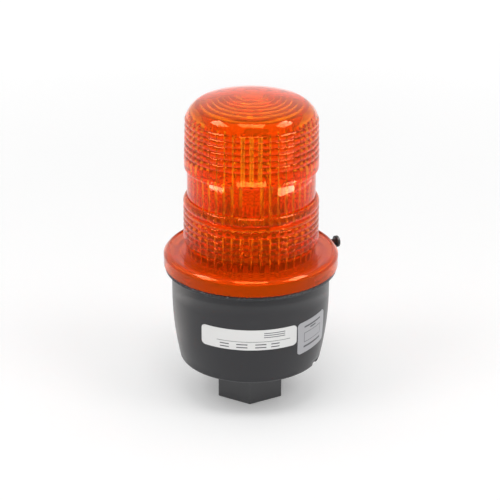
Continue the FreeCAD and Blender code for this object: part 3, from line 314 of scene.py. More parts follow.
def overhead_window(name, middle, width, depth, strength):
    """Level rectangle above the lamp, in metres, that glows."""
    deselect_everything()
    bpy.ops.mesh.primitive_plane_add(size=1.0, location=middle)
    bpy.ops.transform.resize(value=(width, depth, 1))
    made = bpy.context.object
    made.name = name
    bpy.ops.object.transform_apply(location=True, rotation=True, scale=True)
    only_mirrored(made, strength)


def card(name, near, far, start, end, strength, level=0.001):
    """Part of a flat ring round the lamp, in metres and degrees, that glows."""
    outward = Vector((math.cos(math.radians(start)), math.sin(math.radians(start)), 0))
    made = single_vertex(name, outward * near + Vector((0, 0, level)))
    bpy.ops.mesh.extrude_vertices_move(TRANSFORM_OT_translate={"value": outward * (far - near)})
    bpy.ops.mesh.select_all(action="SELECT")
    bpy.ops.mesh.spin(steps=CARD_STEPS, angle=-math.radians(end - start),
                      center=(0, 0, 0), axis=(0, 0, 1))
    bpy.ops.object.mode_set(mode="OBJECT")
    reach = [math.degrees(math.atan2(v.co.y, v.co.x)) for v in made.data.vertices]
    print(name, "from", round(min(reach)), "to", round(max(reach)))
    only_mirrored(made, strength)


# %% Place the windows
WINDOW_GLOW = 40.0
OVERHEAD_GLOW = 30.0
EDGE_GLOW = 4.0
BASE_GLOW = 1.2
WINDOW_LEVEL = 0.002
SIDE_WINDOW_ASIDE = 0.84
SIDE_WINDOW_FORWARD = -0.10

overhead_window("window_over_middle", (0.0, PANEL_FORWARD, PANEL_HEIGHT), 0.54, 0.32, OVERHEAD_GLOW)
for name, side in (("window_over_left", -1), ("window_over_right", 1)):
    place = (side * SIDE_WINDOW_ASIDE, SIDE_WINDOW_FORWARD, PANEL_HEIGHT)
    overhead_window(name, place, 0.50, 0.54, OVERHEAD_GLOW)
card("window_middle", 0.344, 0.352, -114, -66, WINDOW_GLOW, WINDOW_LEVEL)
card("window_left", 0.325, 0.335, -166, -137, WINDOW_GLOW, WINDOW_LEVEL)
card("window_right", 0.320, 0.341, -44, -12, WINDOW_GLOW, WINDOW_LEVEL)
card("base_glow_left", 0.075, 0.175, 138, 180, BASE_GLOW)
card("base_glow_right", 0.090, 0.170, -64, -50, BASE_GLOW)
card("table_edge", 0.3195, 0.3225, -29, 40, EDGE_GLOW)
print("cards on the table")

# %% [markdown]
# ## Finishes
# One small helper makes each plain finish. Every piece could have a material of its own,
# but pieces of the same stuff share one, by the record's slots. The colours are written
# as linear values, and a fine noise in the roughness keeps moulded plastic and metal from
# looking like a screen.

# %% Helper for plain finishes
GRAIN_SCALE = 900.0


def finish(name, colour, roughness, metallic=0.0, grain=0.0, specular=0.5):
    """Opaque material with one colour, and an optional fine grain in its gloss."""
    material = bpy.data.materials.new(name)
    material.use_nodes = True
    tree = material.node_tree
    shader = tree.nodes["Principled BSDF"]
    shader.inputs["Base Color"].default_value = (*colour, 1.0)
    shader.inputs["Roughness"].default_value = roughness
    shader.inputs["Metallic"].default_value = metallic
    shader.inputs["Specular IOR Level"].default_value = specular
    if grain > 0:
        where = tree.nodes.new("ShaderNodeTexCoord")
        noise = add_node(tree, "ShaderNodeTexNoise", Scale=GRAIN_SCALE, Detail=2.0)
        tree.links.new(where.outputs["Object"], noise.inputs["Vector"])
        spread = between(tree, noise.outputs["Fac"], 0.25, 0.75,
                         max(roughness - grain, 0.0), roughness + grain)
        tree.links.new(spread, shader.inputs["Roughness"])
    return material


# %% Plain finishes, by the record's slots
finishes = {
    "black_plastic": finish("satin_black_plastic", (0.018, 0.018, 0.021), 0.30, grain=0.02, specular=0.45),
    "hub_black": finish("hub_black_plastic", (0.075, 0.075, 0.078), 0.42, grain=0.03, specular=0.4),
    "screw_black": finish("blackened_steel", (0.02, 0.02, 0.022), 0.35, grain=0.05),
    "rubber": finish("seal_rubber", (0.012, 0.012, 0.012), 0.8, grain=0.08),
    "steel": finish("zinc_plated_steel", (0.62, 0.63, 0.65), 0.3, 1.0, grain=0.08),
    "brass": finish("turned_brass", (0.78, 0.55, 0.22), 0.28, 1.0, grain=0.06),
    "board": finish("coated_board", (0.34, 0.34, 0.14), 0.45, grain=0.05),
    "column_white": finish("white_moulding", (0.72, 0.72, 0.70), 0.45, grain=0.05),
    "socket_brown": finish("brown_phenolic", (0.16, 0.07, 0.035), 0.4, grain=0.06),
    "nickel": finish("nickel_plate", (0.66, 0.65, 0.62), 0.22, 1.0, grain=0.06),
    "can_sleeve": finish("dark_blue_sleeve", (0.06, 0.07, 0.16), 0.35, grain=0.05),
    "ferrite": finish("ferrite_grey", (0.05, 0.05, 0.052), 0.7, grain=0.1),
    "copper": finish("enamelled_copper", (0.55, 0.22, 0.08), 0.3, 1.0, grain=0.05),
    "coil_resin": finish("coil_resin", (0.02, 0.02, 0.022), 0.35, grain=0.05),
    "film_red": finish("dipped_red", (0.42, 0.035, 0.02), 0.3, grain=0.05),
    "epoxy_black": finish("black_epoxy", (0.016, 0.016, 0.018), 0.45, grain=0.06),
    "aluminium": finish("sheet_aluminium", (0.72, 0.73, 0.74), 0.4, 1.0, grain=0.08),
    "terminal_green": finish("green_terminal", (0.03, 0.22, 0.06), 0.4, grain=0.05),
    "disc_blue": finish("dipped_blue", (0.02, 0.06, 0.28), 0.35, grain=0.05),
    "resistor_tan": finish("tan_resistor", (0.52, 0.36, 0.2), 0.45, grain=0.05),
}
print("plain finishes", len(finishes))

# %% [markdown]
# ## Amber plastic and glass
# The dome is amber polycarbonate. Its colour is the base colour of a transmitting
# surface, so light that crosses two walls comes out deeper, as in the real lens. A small
# share of the surface stays opaque to light: real amber plastic glows a little by itself
# where it is lit, and pure glass would look like a tinted window. Its gloss is amber too,
# because in a white room a clear gloss would lay a pale veil over the deep colour.

# %% Clear finishes
AMBER_TOP = (1.0, 0.23, 0.004)
AMBER_FOOT = (1.0, 0.17, 0.003)
CLEAR_CAP = 0.84
CLEAR_WALL = 0.90
CLEAR_LOWER = 0.85
CLEAR_FLANGE = 0.78
AMBER_INDEX = 1.58
AMBER_ROUGHNESS = 0.03
AMBER_GLOSS = (0.7, 0.10, 0.01)
FLANGE_TO_LOWER = (0.0775, 0.0805)
LOWER_TO_WALL = (0.095, 0.108)
WALL_TO_CAP = (0.146, 0.152)
FOOT_TO_TOP = (0.085, 0.150)
TUBE_GLASS = (0.97, 0.98, 0.98)
TUBE_GLASS_INDEX = 1.47


def clear_finish(name, colour, index, roughness):
    """See-through material."""
    material = bpy.data.materials.new(name)
    material.use_nodes = True
    shader = material.node_tree.nodes["Principled BSDF"]
    shader.inputs["Base Color"].default_value = (*colour, 1.0)
    shader.inputs["Transmission Weight"].default_value = 1.0
    shader.inputs["IOR"].default_value = index
    shader.inputs["Roughness"].default_value = roughness
    return material


amber = clear_finish("amber_polycarbonate", AMBER_TOP, AMBER_INDEX, AMBER_ROUGHNESS)
tree = amber.node_tree
shader = tree.nodes["Principled BSDF"]
shader.inputs["Specular Tint"].default_value = (*AMBER_GLOSS, 1.0)
height = place_on_object(tree)["Z"]
clear = between(tree, height, *FLANGE_TO_LOWER, CLEAR_FLANGE, CLEAR_LOWER)
clear = maths(tree, "ADD", clear, between(tree, height, *LOWER_TO_WALL, 0.0, CLEAR_WALL - CLEAR_LOWER))
clear = maths(tree, "SUBTRACT", clear, between(tree, height, *WALL_TO_CAP, 0.0, CLEAR_WALL - CLEAR_CAP))
tree.links.new(clear, shader.inputs["Transmission Weight"])
deeper_foot = blended(tree, between(tree, height, *FOOT_TO_TOP), AMBER_FOOT, AMBER_TOP)
tree.links.new(deeper_foot, shader.inputs["Base Color"])
finishes["amber_lens"] = amber
finishes["clear_glass"] = clear_finish("tube_glass", TUBE_GLASS, TUBE_GLASS_INDEX, 0.0)
print("amber", AMBER_FOOT, "to", AMBER_TOP, "index", AMBER_INDEX)

# %% [markdown]
# ## Dome
# The real dome is one moulding: a flange with a rounded rim, a neck, two bands of
# horizontal prisms with a smooth waist between them, and a cap with stepped rings
# inside. It is nearly a solid of revolution, so its outline is drawn point by point,
# spun round the axis, and the upright flutes and the lugs are worked in afterwards.

# %% Sizes of the dome, in millimetres
FLUTES = 44
COLUMNS_PER_FLUTE = 4
SEGMENTS = FLUTES * COLUMNS_PER_FLUTE
DOME_FOOT = 70.15
FLANGE_RADIUS = 43.0
FLANGE_BORE = 40.5
FLANGE_EDGE = 2.6
FLANGE_EDGE_TIGHT = 1.3
FLANGE_EDGE_WIDE = 6.6
FLANGE_TOP = 78.05
FLANGE_WELL = 77.25
FLANGE_CEILING = 75.05
FOOT_CHAMFER = 0.4
LIP_OUTER = 39.9
LIP_INNER = 39.6
STEP_OUTER = 35.3
STEP_INNER = 34.1
STEP_RISE = 0.35
LUG_FOOT = 70.9
LUG_TOP = 72.4
PAD_FOOT = 70.45
PAD_TOP = 74.9
NECK_RADIUS = 32.0
NECK_TOP = 81.35
RIB_DEPTH = 0.78
LOWER_RADIUS = 33.2
LOWER_BOTTOM = 82.85
LOWER_PITCH = 3.11
LOWER_RIBS = 7
MOAT_RADIUS = 30.4
MOAT_HEIGHT = 105.3
MID_RADIUS = 31.3
MID_BOTTOM = 107.2
MID_TOP = 120.2
UPPER_RADIUS = 32.7
UPPER_VALLEY = 128.02
UPPER_PITCH = 3.06
UPPER_RIBS = 6
UPPER_TOP_RADIUS = 32.2
CAP_CENTRE_HEIGHT = 142.69
CAP_CORNER_RADIUS = 11.5
CAP_CROWN_RADIUS = 74.6
APEX = 157.68
CAP_WALL = 3.0
LOWER_BORE = 29.2
UPPER_BORE = 27.0

# %% Helpers that lay out the outline
def arc(centre_r, centre_z, radius, start, end, steps):
    """Points of an arc in the (radius, height) plane, without its first point."""
    points = []
    for step in range(1, steps + 1):
        angle = math.radians(start + (end - start) * step / steps)
        points.append((centre_r + radius * math.cos(angle), centre_z + radius * math.sin(angle)))
    return points


def eased_edge(outer_r, low_z, tight, wide):
    """Quarter turn made of a tight arc, a wide one in the middle and a tight one."""
    points = []
    r, z = outer_r, low_z
    for radius, start, end, steps in ((tight, 0, 35, 4), (wide, 35, 55, 6), (tight, 55, 90, 4)):
        centre_r = r - radius * math.cos(math.radians(start))
        centre_z = z - radius * math.sin(math.radians(start))
        points += arc(centre_r, centre_z, radius, start, end, steps)
        r, z = points[-1]
    return points


def rounded_rib(valley_start, valley_end, depth, steps=6):
    """Points of one convex prism between two valleys, without the first valley."""
    (r0, z0), (r1, z1) = valley_start, valley_end
    half = (z1 - z0) / 2
    bulge = (half * half + depth * depth) / (2 * depth)
    reach = math.asin(half / bulge)
    points = []
    for step in range(1, steps + 1):
        share = step / steps
        angle = reach * (2 * share - 1)
        swell = bulge * math.cos(angle) - (bulge - depth)
        points.append((r0 + (r1 - r0) * share + swell, (z0 + z1) / 2 + bulge * math.sin(angle)))
    return points


def crown(radius):
    """Height of the cap's crown at a radius."""
    return APEX - CAP_CROWN_RADIUS + math.sqrt(CAP_CROWN_RADIUS ** 2 - radius ** 2)


# %% Outline, outside: flange, neck and lower prisms
outline = [(FLANGE_BORE, DOME_FOOT), (FLANGE_RADIUS - FOOT_CHAMFER, DOME_FOOT)]
outline.append((FLANGE_RADIUS, DOME_FOOT + FOOT_CHAMFER))
outline.append((FLANGE_RADIUS, FLANGE_TOP - FLANGE_EDGE))
outline += eased_edge(FLANGE_RADIUS, FLANGE_TOP - FLANGE_EDGE, FLANGE_EDGE_TIGHT, FLANGE_EDGE_WIDE)
outline += [(LIP_OUTER, FLANGE_WELL), (LIP_INNER, FLANGE_WELL)]
outline += [(STEP_OUTER, FLANGE_WELL), (STEP_OUTER, FLANGE_WELL + STEP_RISE)]
outline += [(STEP_INNER, FLANGE_WELL + STEP_RISE), (STEP_INNER, FLANGE_WELL + 2 * STEP_RISE)]
outline += [(NECK_RADIUS, FLANGE_WELL + 2 * STEP_RISE), (NECK_RADIUS, NECK_TOP)]
outline.append((LOWER_RADIUS - RIB_DEPTH / 2, LOWER_BOTTOM))
outline.append((LOWER_RADIUS, LOWER_BOTTOM + LOWER_PITCH / 3))
outline.append((LOWER_RADIUS, LOWER_BOTTOM + LOWER_PITCH * 0.6))
outline.append((LOWER_RADIUS - RIB_DEPTH, LOWER_BOTTOM + LOWER_PITCH))
for index in range(1, LOWER_RIBS - 1):
    low = LOWER_BOTTOM + index * LOWER_PITCH
    valley = LOWER_RADIUS - RIB_DEPTH
    outline += rounded_rib((valley, low), (valley, low + LOWER_PITCH), RIB_DEPTH)
print("outline so far", len(outline), "points")

# %% Outline, outside: top prism, moat, smooth middle, upper prisms and cap
low = LOWER_BOTTOM + (LOWER_RIBS - 1) * LOWER_PITCH
outline += [(LOWER_RADIUS - 0.25, low + 0.6), (LOWER_RADIUS, low + 1.5), (LOWER_RADIUS - 0.1, low + 2.6)]
outline += [(LOWER_RADIUS - 0.6, low + 3.7), (31.9, low + 4.35), (31.3, 106.02)]
outline += [(31.0, 105.95), (MOAT_RADIUS, MOAT_HEIGHT), (MOAT_RADIUS + 0.15, MOAT_HEIGHT + 0.05)]
outline += [(30.8, 105.8), (31.1, 106.5), (MID_RADIUS, MID_BOTTOM)]
outline += [(MID_RADIUS, MID_BOTTOM + 0.3), (MID_RADIUS, MID_TOP - 0.4), (MID_RADIUS, MID_TOP)]
outline += [(UPPER_RADIUS - 0.45, MID_TOP + 0.3), (UPPER_RADIUS - 0.1, MID_TOP + 0.85)]
outline += [(UPPER_RADIUS, MID_TOP + 1.5), (UPPER_RADIUS, MID_TOP + 1.8)]
outline += [(UPPER_RADIUS, UPPER_VALLEY - 1.8), (UPPER_RADIUS, UPPER_VALLEY - 1.5)]
outline += [(UPPER_RADIUS - 0.25, UPPER_VALLEY - 0.7), (UPPER_RADIUS - RIB_DEPTH, UPPER_VALLEY)]
taper = (UPPER_RADIUS - UPPER_TOP_RADIUS) / UPPER_RIBS
for index in range(UPPER_RIBS):
    low = UPPER_VALLEY + index * UPPER_PITCH
    foot = UPPER_RADIUS - RIB_DEPTH - index * taper
    outline += rounded_rib((foot, low), (foot - taper, low + UPPER_PITCH), RIB_DEPTH)
upper_top = UPPER_VALLEY + UPPER_RIBS * UPPER_PITCH
corner_r = UPPER_TOP_RADIUS - CAP_CORNER_RADIUS
start = math.degrees(math.asin((upper_top + 0.3 - CAP_CENTRE_HEIGHT) / CAP_CORNER_RADIUS))
meet = corner_r * CAP_CROWN_RADIUS / (CAP_CROWN_RADIUS - CAP_CORNER_RADIUS)
end = math.degrees(math.acos((meet - corner_r) / CAP_CORNER_RADIUS))
outline.append((corner_r + CAP_CORNER_RADIUS * math.cos(math.radians(start)), upper_top + 0.3))
outline += arc(corner_r, CAP_CENTRE_HEIGHT, CAP_CORNER_RADIUS, start, end, 12)
for share in (0.8, 0.6, 0.4, 0.2):
    outline.append((meet * share, crown(meet * share)))
outline.append((0.0, APEX))
outside_count = len(outline)
print("outside", outside_count, "points")

# %% Outline, inside: stepped rings under the cap, then the bore
RING_PITCH = 2.6
RING_COUNT = 8
RING_OUTER = 26.2
RING_DEPTH = 0.9
STEEP_FLUTE_DEPTH = 1.0
WIDE_FLUTE_DEPTH = 1.3
FLUTE_CHANGE = 121.0
LEDGE_GROOVES = 12
LEDGE_PITCH = 0.88
LEDGE_DEPTH = 0.2
LEDGE_LAND = 0.5

ring_centre = RING_OUTER - RING_COUNT * RING_PITCH
outline.append((0.0, APEX - CAP_WALL))
outline.append((ring_centre * 0.5, crown(ring_centre * 0.5) - CAP_WALL))
outline.append((ring_centre, crown(ring_centre) - CAP_WALL))
for index in range(RING_COUNT):
    inner = ring_centre + index * RING_PITCH
    outer = inner + RING_PITCH
    outline.append((inner, crown(inner) - CAP_WALL - RING_DEPTH))
    outline.append((outer - 0.05, crown(outer) - CAP_WALL))
outline += [(26.6, 149.0), (26.9, 147.6)]
outline += [(UPPER_BORE, 146.38), (UPPER_BORE, 145.48), (UPPER_BORE, FLUTE_CHANGE + 0.3)]
outline += [(UPPER_BORE, FLUTE_CHANGE - 0.3), (UPPER_BORE, 99.22), (UPPER_BORE, 98.32)]
outline += [(LOWER_BORE, 96.12), (LOWER_BORE, 95.22), (LOWER_BORE, 77.6), (LOWER_BORE, FLANGE_CEILING)]
for index in range(LEDGE_GROOVES):
    inner = LOWER_BORE + LEDGE_LAND + index * LEDGE_PITCH
    outline += [(inner, FLANGE_CEILING), (inner + LEDGE_PITCH / 2, FLANGE_CEILING + LEDGE_DEPTH)]
outline.append((LOWER_BORE + LEDGE_LAND + LEDGE_GROOVES * LEDGE_PITCH, FLANGE_CEILING))
outline += [(FLANGE_BORE, FLANGE_CEILING), (FLANGE_BORE, PAD_TOP), (FLANGE_BORE, LUG_TOP)]
outline += [(FLANGE_BORE, LUG_FOOT), (FLANGE_BORE, PAD_FOOT)]
print("whole outline", len(outline), "points")

# %% [markdown]
# The chain of points starts as a plane merged to a single vertex. Each further point is
# an extrusion of the last one, and the first is joined to the last before the spin.

# %% Spin the outline round the axis
MERGE_DISTANCE = 0.000002


def spun(name, points, steps):
    """Closed solid of revolution from (radius, height) points, in millimetres."""
    made = single_vertex(name, (points[0][0] * MM, 0, points[0][1] * MM))
    last_r, last_z = points[0]
    for r, z in points[1:] + points[:1]:
        step = ((r - last_r) * MM, 0, (z - last_z) * MM)
        bpy.ops.mesh.extrude_vertices_move(TRANSFORM_OT_translate={"value": step})
        last_r, last_z = r, z
    bpy.ops.mesh.select_all(action="SELECT")
    bpy.ops.mesh.remove_doubles(threshold=MERGE_DISTANCE)
    bpy.ops.mesh.select_all(action="SELECT")
    bpy.ops.mesh.spin(steps=steps, angle=2 * math.pi, center=(0, 0, 0), axis=(0, 0, 1))
    bpy.ops.mesh.select_all(action="SELECT")
    bpy.ops.mesh.remove_doubles(threshold=MERGE_DISTANCE)
    bpy.ops.mesh.select_all(action="SELECT")
    bpy.ops.mesh.normals_make_consistent(inside=False)
    bpy.ops.object.mode_set(mode="OBJECT")
    return made


dome = spun("dome", outline, SEGMENTS)
print("dome faces", len(dome.data.polygons))


# %% Select by place, then scale round the axis
def select_parts(thing, kind, parts, wanted):
    """In edit mode afterwards, with the vertices or faces that pass the test selected."""
    make_active(thing)
    bpy.ops.object.mode_set(mode="EDIT")
    bpy.ops.mesh.select_mode(type=kind)
    bpy.ops.mesh.select_all(action="DESELECT")
    bpy.ops.object.mode_set(mode="OBJECT")
    found = [part for part in parts if wanted(part)]
    for part in found:
        part.select = True
    bpy.ops.object.mode_set(mode="EDIT")
    return len(found)


def select_vertices(thing, wanted):
    """Selects vertices by their place, in millimetres."""
    return select_parts(thing, "VERT", thing.data.vertices, lambda vertex: wanted(vertex.co / MM))


def select_faces(thing, wanted):
    """Selects faces by the place of their centre, in millimetres."""
    return select_parts(thing, "FACE", thing.data.polygons, lambda face: wanted(face.center / MM))


def azimuth_of(point):
    """Direction of a point from the axis, in degrees from 0 to 360."""
    return math.degrees(math.atan2(point.y, point.x)) % 360.0


def column_of(point):
    """Number of the upright row of vertices that a point stands in."""
    return round(azimuth_of(point) / (360.0 / SEGMENTS)) % SEGMENTS


# %% [markdown]
# The flutes are upright grooves inside the wall. They could be cut out of the wall by 44
# wedges, but the wall already has four rows of vertices to each flute, so these are
# pushed out. Behind the prisms one row in four moves, and its steep sides turn light
# back as a reflector does. Behind the smooth band the rows make a wide zigzag.

# %% Push the flutes out
LOWER_FLUTE_ENDS = (77.5, 95.3)
UPPER_FLUTE_FOOT = 99.1
UPPER_FLUTE_TOP = 145.6


def push_flutes(bore, low, high, row, depth):
    """Pushes one of the four rows of each flute out by a depth, in millimetres."""
    count = select_vertices(dome, lambda p: low < p.z < high
                            and abs(math.hypot(p.x, p.y) - bore) < 0.05
                            and column_of(p) % COLUMNS_PER_FLUTE == row)
    share = (bore + depth) / bore
    bpy.ops.transform.resize(value=(share, share, 1), center_override=(0, 0, 0))
    bpy.ops.object.mode_set(mode="OBJECT")
    print("bore", bore, "row", row, "pushed out", count)


push_flutes(LOWER_BORE, *LOWER_FLUTE_ENDS, 0, STEEP_FLUTE_DEPTH)
push_flutes(UPPER_BORE, FLUTE_CHANGE, UPPER_FLUTE_TOP, 0, STEEP_FLUTE_DEPTH)
for row, depth in ((0, WIDE_FLUTE_DEPTH), (1, WIDE_FLUTE_DEPTH / 2), (3, WIDE_FLUTE_DEPTH / 2)):
    push_flutes(UPPER_BORE, UPPER_FLUTE_FOOT, FLUTE_CHANGE, row, depth)

# %% Lugs and the pad for the lock screw, inside the flange
LUG_INNER = 38.9
LUG_MIDDLES = (90, 210, 330)
LUG_HALF_ANGLE = 12.0
PAD_AZIMUTH = 25.0
PAD_HALF_ANGLE = 5.2


def angle_between(a, b):
    """Smaller angle between two directions, in degrees."""
    return abs((a - b + 180.0) % 360.0 - 180.0)


def push_in(low, high, middle, half_angle):
    """Extrudes a patch of the flange's inner wall towards the axis."""
    count = select_faces(dome, lambda c: low < c.z < high
                         and abs(math.hypot(c.x, c.y) - FLANGE_BORE) < 0.1
                         and angle_between(azimuth_of(c), middle) < half_angle)
    bpy.ops.mesh.extrude_region_move(TRANSFORM_OT_translate={"value": (0, 0, 0)})
    share = LUG_INNER / FLANGE_BORE
    bpy.ops.transform.resize(value=(share, share, 1), center_override=(0, 0, 0))
    bpy.ops.object.mode_set(mode="OBJECT")
    return count


for middle in LUG_MIDDLES:
    push_in(LUG_FOOT, LUG_TOP, middle, LUG_HALF_ANGLE)
pad_faces = push_in(PAD_FOOT, PAD_TOP, PAD_AZIMUTH, PAD_HALF_ANGLE)
print("pad faces", pad_faces)

# %% Hole for the lock screw's brass thread
HOLE_RADIUS = 2.35
SCREW_HEIGHT = 72.95
DRILL_LENGTH = 8.0
DRILL_MIDDLE = 41.0
SMOOTH_BELOW = math.radians(30)


def combine(thing, tool, operation="DIFFERENCE"):
    """Cuts a tool out of a thing, or joins it to it, and removes the tool."""
    modifier = thing.modifiers.new("combine", "BOOLEAN")
    modifier.object = tool
    modifier.operation = operation
    modifier.solver = "EXACT"
    make_active(thing)
    bpy.ops.object.modifier_apply(modifier="combine")
    bpy.data.objects.remove(tool)


deselect_everything()
bpy.ops.mesh.primitive_cylinder_add(vertices=32, radius=HOLE_RADIUS * MM,
                                    depth=DRILL_LENGTH * MM, location=(0, 0, 0))
drill = bpy.context.object
pad_angle = math.radians(PAD_AZIMUTH)
drill.matrix_world = (Matrix.Rotation(pad_angle, 4, "Z")
                      @ Matrix.Translation((DRILL_MIDDLE * MM, 0, SCREW_HEIGHT * MM))
                      @ Matrix.Rotation(math.pi / 2, 4, "Y"))
bpy.ops.object.transform_apply(location=True, rotation=True, scale=True)
combine(dome, drill)


def smooth(thing):
    """Shades a piece as one moulding, with crisp edges where its faces turn sharply."""
    make_active(thing)
    bpy.ops.object.shade_smooth_by_angle(angle=SMOOTH_BELOW)


smooth(dome)
dress(dome, finishes["amber_lens"])
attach(dome, "dome")
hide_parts("dome_lens")
print("dome triangles", sum(len(face.vertices) - 2 for face in dome.data.polygons))

# %% [markdown]
# ## Hub
# The hub is a moulded hexagon with a pipe thread inside. The bore could stay plain, but
# the thread shows from below, so a triangle is wound up the bore with a Screw modifier
# and joined to the hexagon.

# %% Sizes of the hub, in millimetres
HUB_CORNER_RADIUS = 18.245
HUB_HEX_HEIGHT = 19.7
HUB_EDGE_ROUNDING = 0.45
SPIGOT_RADIUS = 13.0
SPIGOT_TOP = 33.7
THREAD_ROOT = 10.45
THREAD_RIDGE = 0.83
THREAD_PITCH = 1.814
THREAD_TURNS = 8
THREAD_STEPS = 48
RIDGE_INTO_WALL = 0.15
OVERLAP = 1.0
THREAD_TOP = 17.0
WIRE_RADIUS = 7.5

# %% Hexagon with rounded edges, spigot and bores
def upright_cylinder(radius, low, high, sides):
    """Solid cylinder on the axis between two heights, in millimetres."""
    deselect_everything()
    bpy.ops.mesh.primitive_cylinder_add(vertices=sides, radius=radius * MM, depth=(high - low) * MM,
                                        location=(0, 0, (low + high) / 2 * MM))
    bpy.ops.object.transform_apply(location=True, rotation=True, scale=True)
    return bpy.context.object


hub = upright_cylinder(HUB_CORNER_RADIUS, 0, HUB_HEX_HEIGHT, 6)
hub.name = "threaded_hub"
bpy.ops.object.mode_set(mode="EDIT")
bpy.ops.mesh.select_all(action="SELECT")
bpy.ops.mesh.bevel(offset=HUB_EDGE_ROUNDING * MM, segments=3, affect="EDGES")
bpy.ops.object.mode_set(mode="OBJECT")
combine(hub, upright_cylinder(SPIGOT_RADIUS, HUB_HEX_HEIGHT - OVERLAP, SPIGOT_TOP, 64), "UNION")
combine(hub, upright_cylinder(THREAD_ROOT, -OVERLAP, THREAD_TOP, 64))
combine(hub, upright_cylinder(WIRE_RADIUS, THREAD_TOP - OVERLAP, SPIGOT_TOP + OVERLAP, 48))
smooth(hub)
print("hub faces", len(hub.data.polygons))

# %% Thread ridge, wound up the bore
deselect_everything()
bpy.ops.mesh.primitive_circle_add(vertices=3, radius=THREAD_RIDGE * MM, location=(0, 0, 0))
ridge = bpy.context.object
ridge.name = "thread_ridge"
ridge_centre = THREAD_ROOT - THREAD_RIDGE / 2 + RIDGE_INTO_WALL
ridge.matrix_world = (Matrix.Translation((ridge_centre * MM, 0, THREAD_PITCH / 2 * MM))
                      @ Matrix.Rotation(math.pi / 2, 4, "X") @ Matrix.Rotation(math.pi / 2, 4, "Z"))
bpy.ops.object.transform_apply(location=True, rotation=True, scale=True)
winding = ridge.modifiers.new("wind", "SCREW")
winding.axis = "Z"
winding.angle = 2 * math.pi
winding.screw_offset = THREAD_PITCH * MM
winding.iterations = THREAD_TURNS
winding.steps = THREAD_STEPS
winding.render_steps = THREAD_STEPS
bpy.ops.object.modifier_apply(modifier="wind")
bpy.ops.object.mode_set(mode="EDIT")
bpy.ops.mesh.select_all(action="SELECT")
bpy.ops.mesh.fill_holes(sides=4)
bpy.ops.mesh.select_all(action="SELECT")
bpy.ops.mesh.normals_make_consistent(inside=False)
bpy.ops.object.mode_set(mode="OBJECT")
print("ridge from", round(min(v.co.z for v in ridge.data.vertices) / MM, 2),
      "to", round(max(v.co.z for v in ridge.data.vertices) / MM, 2))
deselect_everything()
ridge.select_set(True)
hub.select_set(True)
bpy.context.view_layer.objects.active = hub
bpy.ops.object.join()
dress(hub, finishes["hub_black"])
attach(hub, "base")
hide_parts("pipe_hub")

# %% [markdown]
# ## Labels
# Both labels are thin foils on the tapering wall, printed with rules and short columns.
# The print could be an image, but a few level bars are simple enough to be worked out
# from the place on the wall: how far round it is, and how far up.

# %% Label finishes
LABEL_WALL_RADIUS = 40.0
PRINT_GREY = (0.10, 0.10, 0.11)


def bars_on(tree, across, up, bars):
    """One inside any of the bars, each given by its middle and half its size, in millimetres."""
    total = 0.0
    for middle_x, middle_y, half_x, half_y in bars:
        inside_x = maths(tree, "COMPARE", across, middle_x, half_x)
        inside_y = maths(tree, "COMPARE", up, middle_y, half_y)
        total = maths(tree, "MAXIMUM", maths(tree, "MULTIPLY", inside_x, inside_y), total)
    return total


def label_finish(name, paper, azimuth, middle, tilt, bars, blanks=()):
    """Satin foil with level bars; blanks are wiped out of them again."""
    material = bpy.data.materials.new(name)
    material.use_nodes = True
    tree = material.node_tree
    shader = tree.nodes["Principled BSDF"]
    shader.inputs["Roughness"].default_value = 0.35
    place = place_on_object(tree)
    turned = maths(tree, "ARCTAN2", place["Y"], place["X"])
    turned = maths(tree, "SUBTRACT", turned, math.radians(azimuth))
    round_wall = maths(tree, "MULTIPLY", turned, LABEL_WALL_RADIUS)
    raised = maths(tree, "SUBTRACT", maths(tree, "MULTIPLY", place["Z"], 1.0 / MM), middle)
    cos, sin = math.cos(math.radians(tilt)), math.sin(math.radians(tilt))
    across = maths(tree, "MULTIPLY_ADD", raised, sin, maths(tree, "MULTIPLY", round_wall, cos))
    up = maths(tree, "MULTIPLY_ADD", round_wall, -sin, maths(tree, "MULTIPLY", raised, cos))
    printed = bars_on(tree, across, up, bars)
    if blanks:
        printed = maths(tree, "SUBTRACT", printed, bars_on(tree, across, up, blanks))
        printed = maths(tree, "MAXIMUM", printed, 0.0)
    tree.links.new(blended(tree, printed, paper, PRINT_GREY), shader.inputs["Base Color"])
    return material


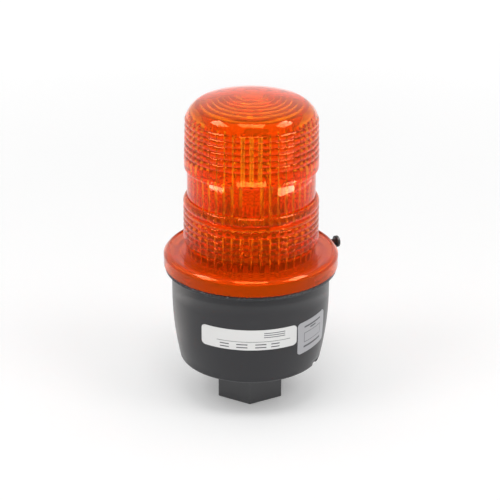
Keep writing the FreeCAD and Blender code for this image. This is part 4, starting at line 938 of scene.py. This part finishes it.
long_rule = [(2.5, -0.9, 19.0, 0.13)]
column_places = ((-12.5, 2.4), (-3.5, 2.8), (6.0, 2.8), (13.5, 2.2))
short_columns = [(x, y, half, 0.28) for x, half in column_places for y in (-2.4, -4.0)]
note_lines = [(13.0, y, 5.5, 0.2) for y in (3.6, 2.5, 1.4)]
finishes["label_white"] = label_finish("white_label", (0.80, 0.80, 0.79), -91.0, 45.7, 0.0,
                                       long_rule + short_columns + note_lines)
box_and_lines = [(0.0, 0.0, 6.6, 2.7), (0.0, 5.9, 6.4, 0.45), (0.0, 4.4, 2.2, 0.4), (0.0, -5.2, 6.8, 0.55)]
finishes["label_silver"] = label_finish("silver_label", (0.44, 0.44, 0.46), -37.9, 43.0, 5.0,
                                        box_and_lines, [(0.0, 0.0, 6.3, 2.4)])
print("labels with", len(long_rule + short_columns + note_lines) + len(box_and_lines), "bars")

# %% [markdown]
# ## Dressing the construction
# Each piece takes the finish of its slot. The dome's gasket is the one exception: it is
# painted pale instead of the black of its rubber slot, as painted light that brightens the
# clear flange over it, because a black ring under the clear flange would darken the amber.

# %% Dress every piece by its slot
for part in frame["record"]["subparts"]:
    dress(nodes[part["node"]], finishes[part["material_slot"]])
# Painted light: the gasket is pale, not black, so that the amber flange above it looks lit.
dress(nodes["dome_gasket"], finish("gasket_painted_light", (0.50, 0.46, 0.40), 0.6, grain=0.06))

# %% [markdown]
# ## Every other piece
# The construction's mesh is made of loose triangles, which shade as flat faces. A merged
# copy keeps each form and shades as one moulding. Its edges stay crisp where two faces
# meet at more than 30 degrees.

# %% Merged copies with smooth shading
REMADE = ("dome_lens", "pipe_hub")


def merged_copy(name):
    """Copy of a construction piece with its triangles joined, in its place."""
    source = nodes[name]
    made = bpy.data.objects.new(name + "_smooth", source.data.copy())
    bpy.context.scene.collection.objects.link(made)
    made.matrix_world = source.matrix_world.copy()
    make_active(made)
    bpy.ops.object.transform_apply(location=True, rotation=True, scale=True)
    bpy.ops.object.mode_set(mode="EDIT")
    bpy.ops.mesh.select_all(action="SELECT")
    bpy.ops.mesh.remove_doubles(threshold=MERGE_DISTANCE)
    bpy.ops.mesh.normals_make_consistent(inside=False)
    bpy.ops.object.mode_set(mode="OBJECT")
    smooth(made)
    return made


slots = {part["node"]: part["material_slot"] for part in frame["record"]["subparts"]}
body_of = {}
for body, members in frame["record"]["behaviour"]["bodies"].items():
    for member in members:
        body_of[member] = body
for name in slots:
    if name in REMADE:
        continue
    piece = merged_copy(name)
    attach(piece, body_of[name])
    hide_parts(name)
    print(name, len(piece.data.polygons), "faces")
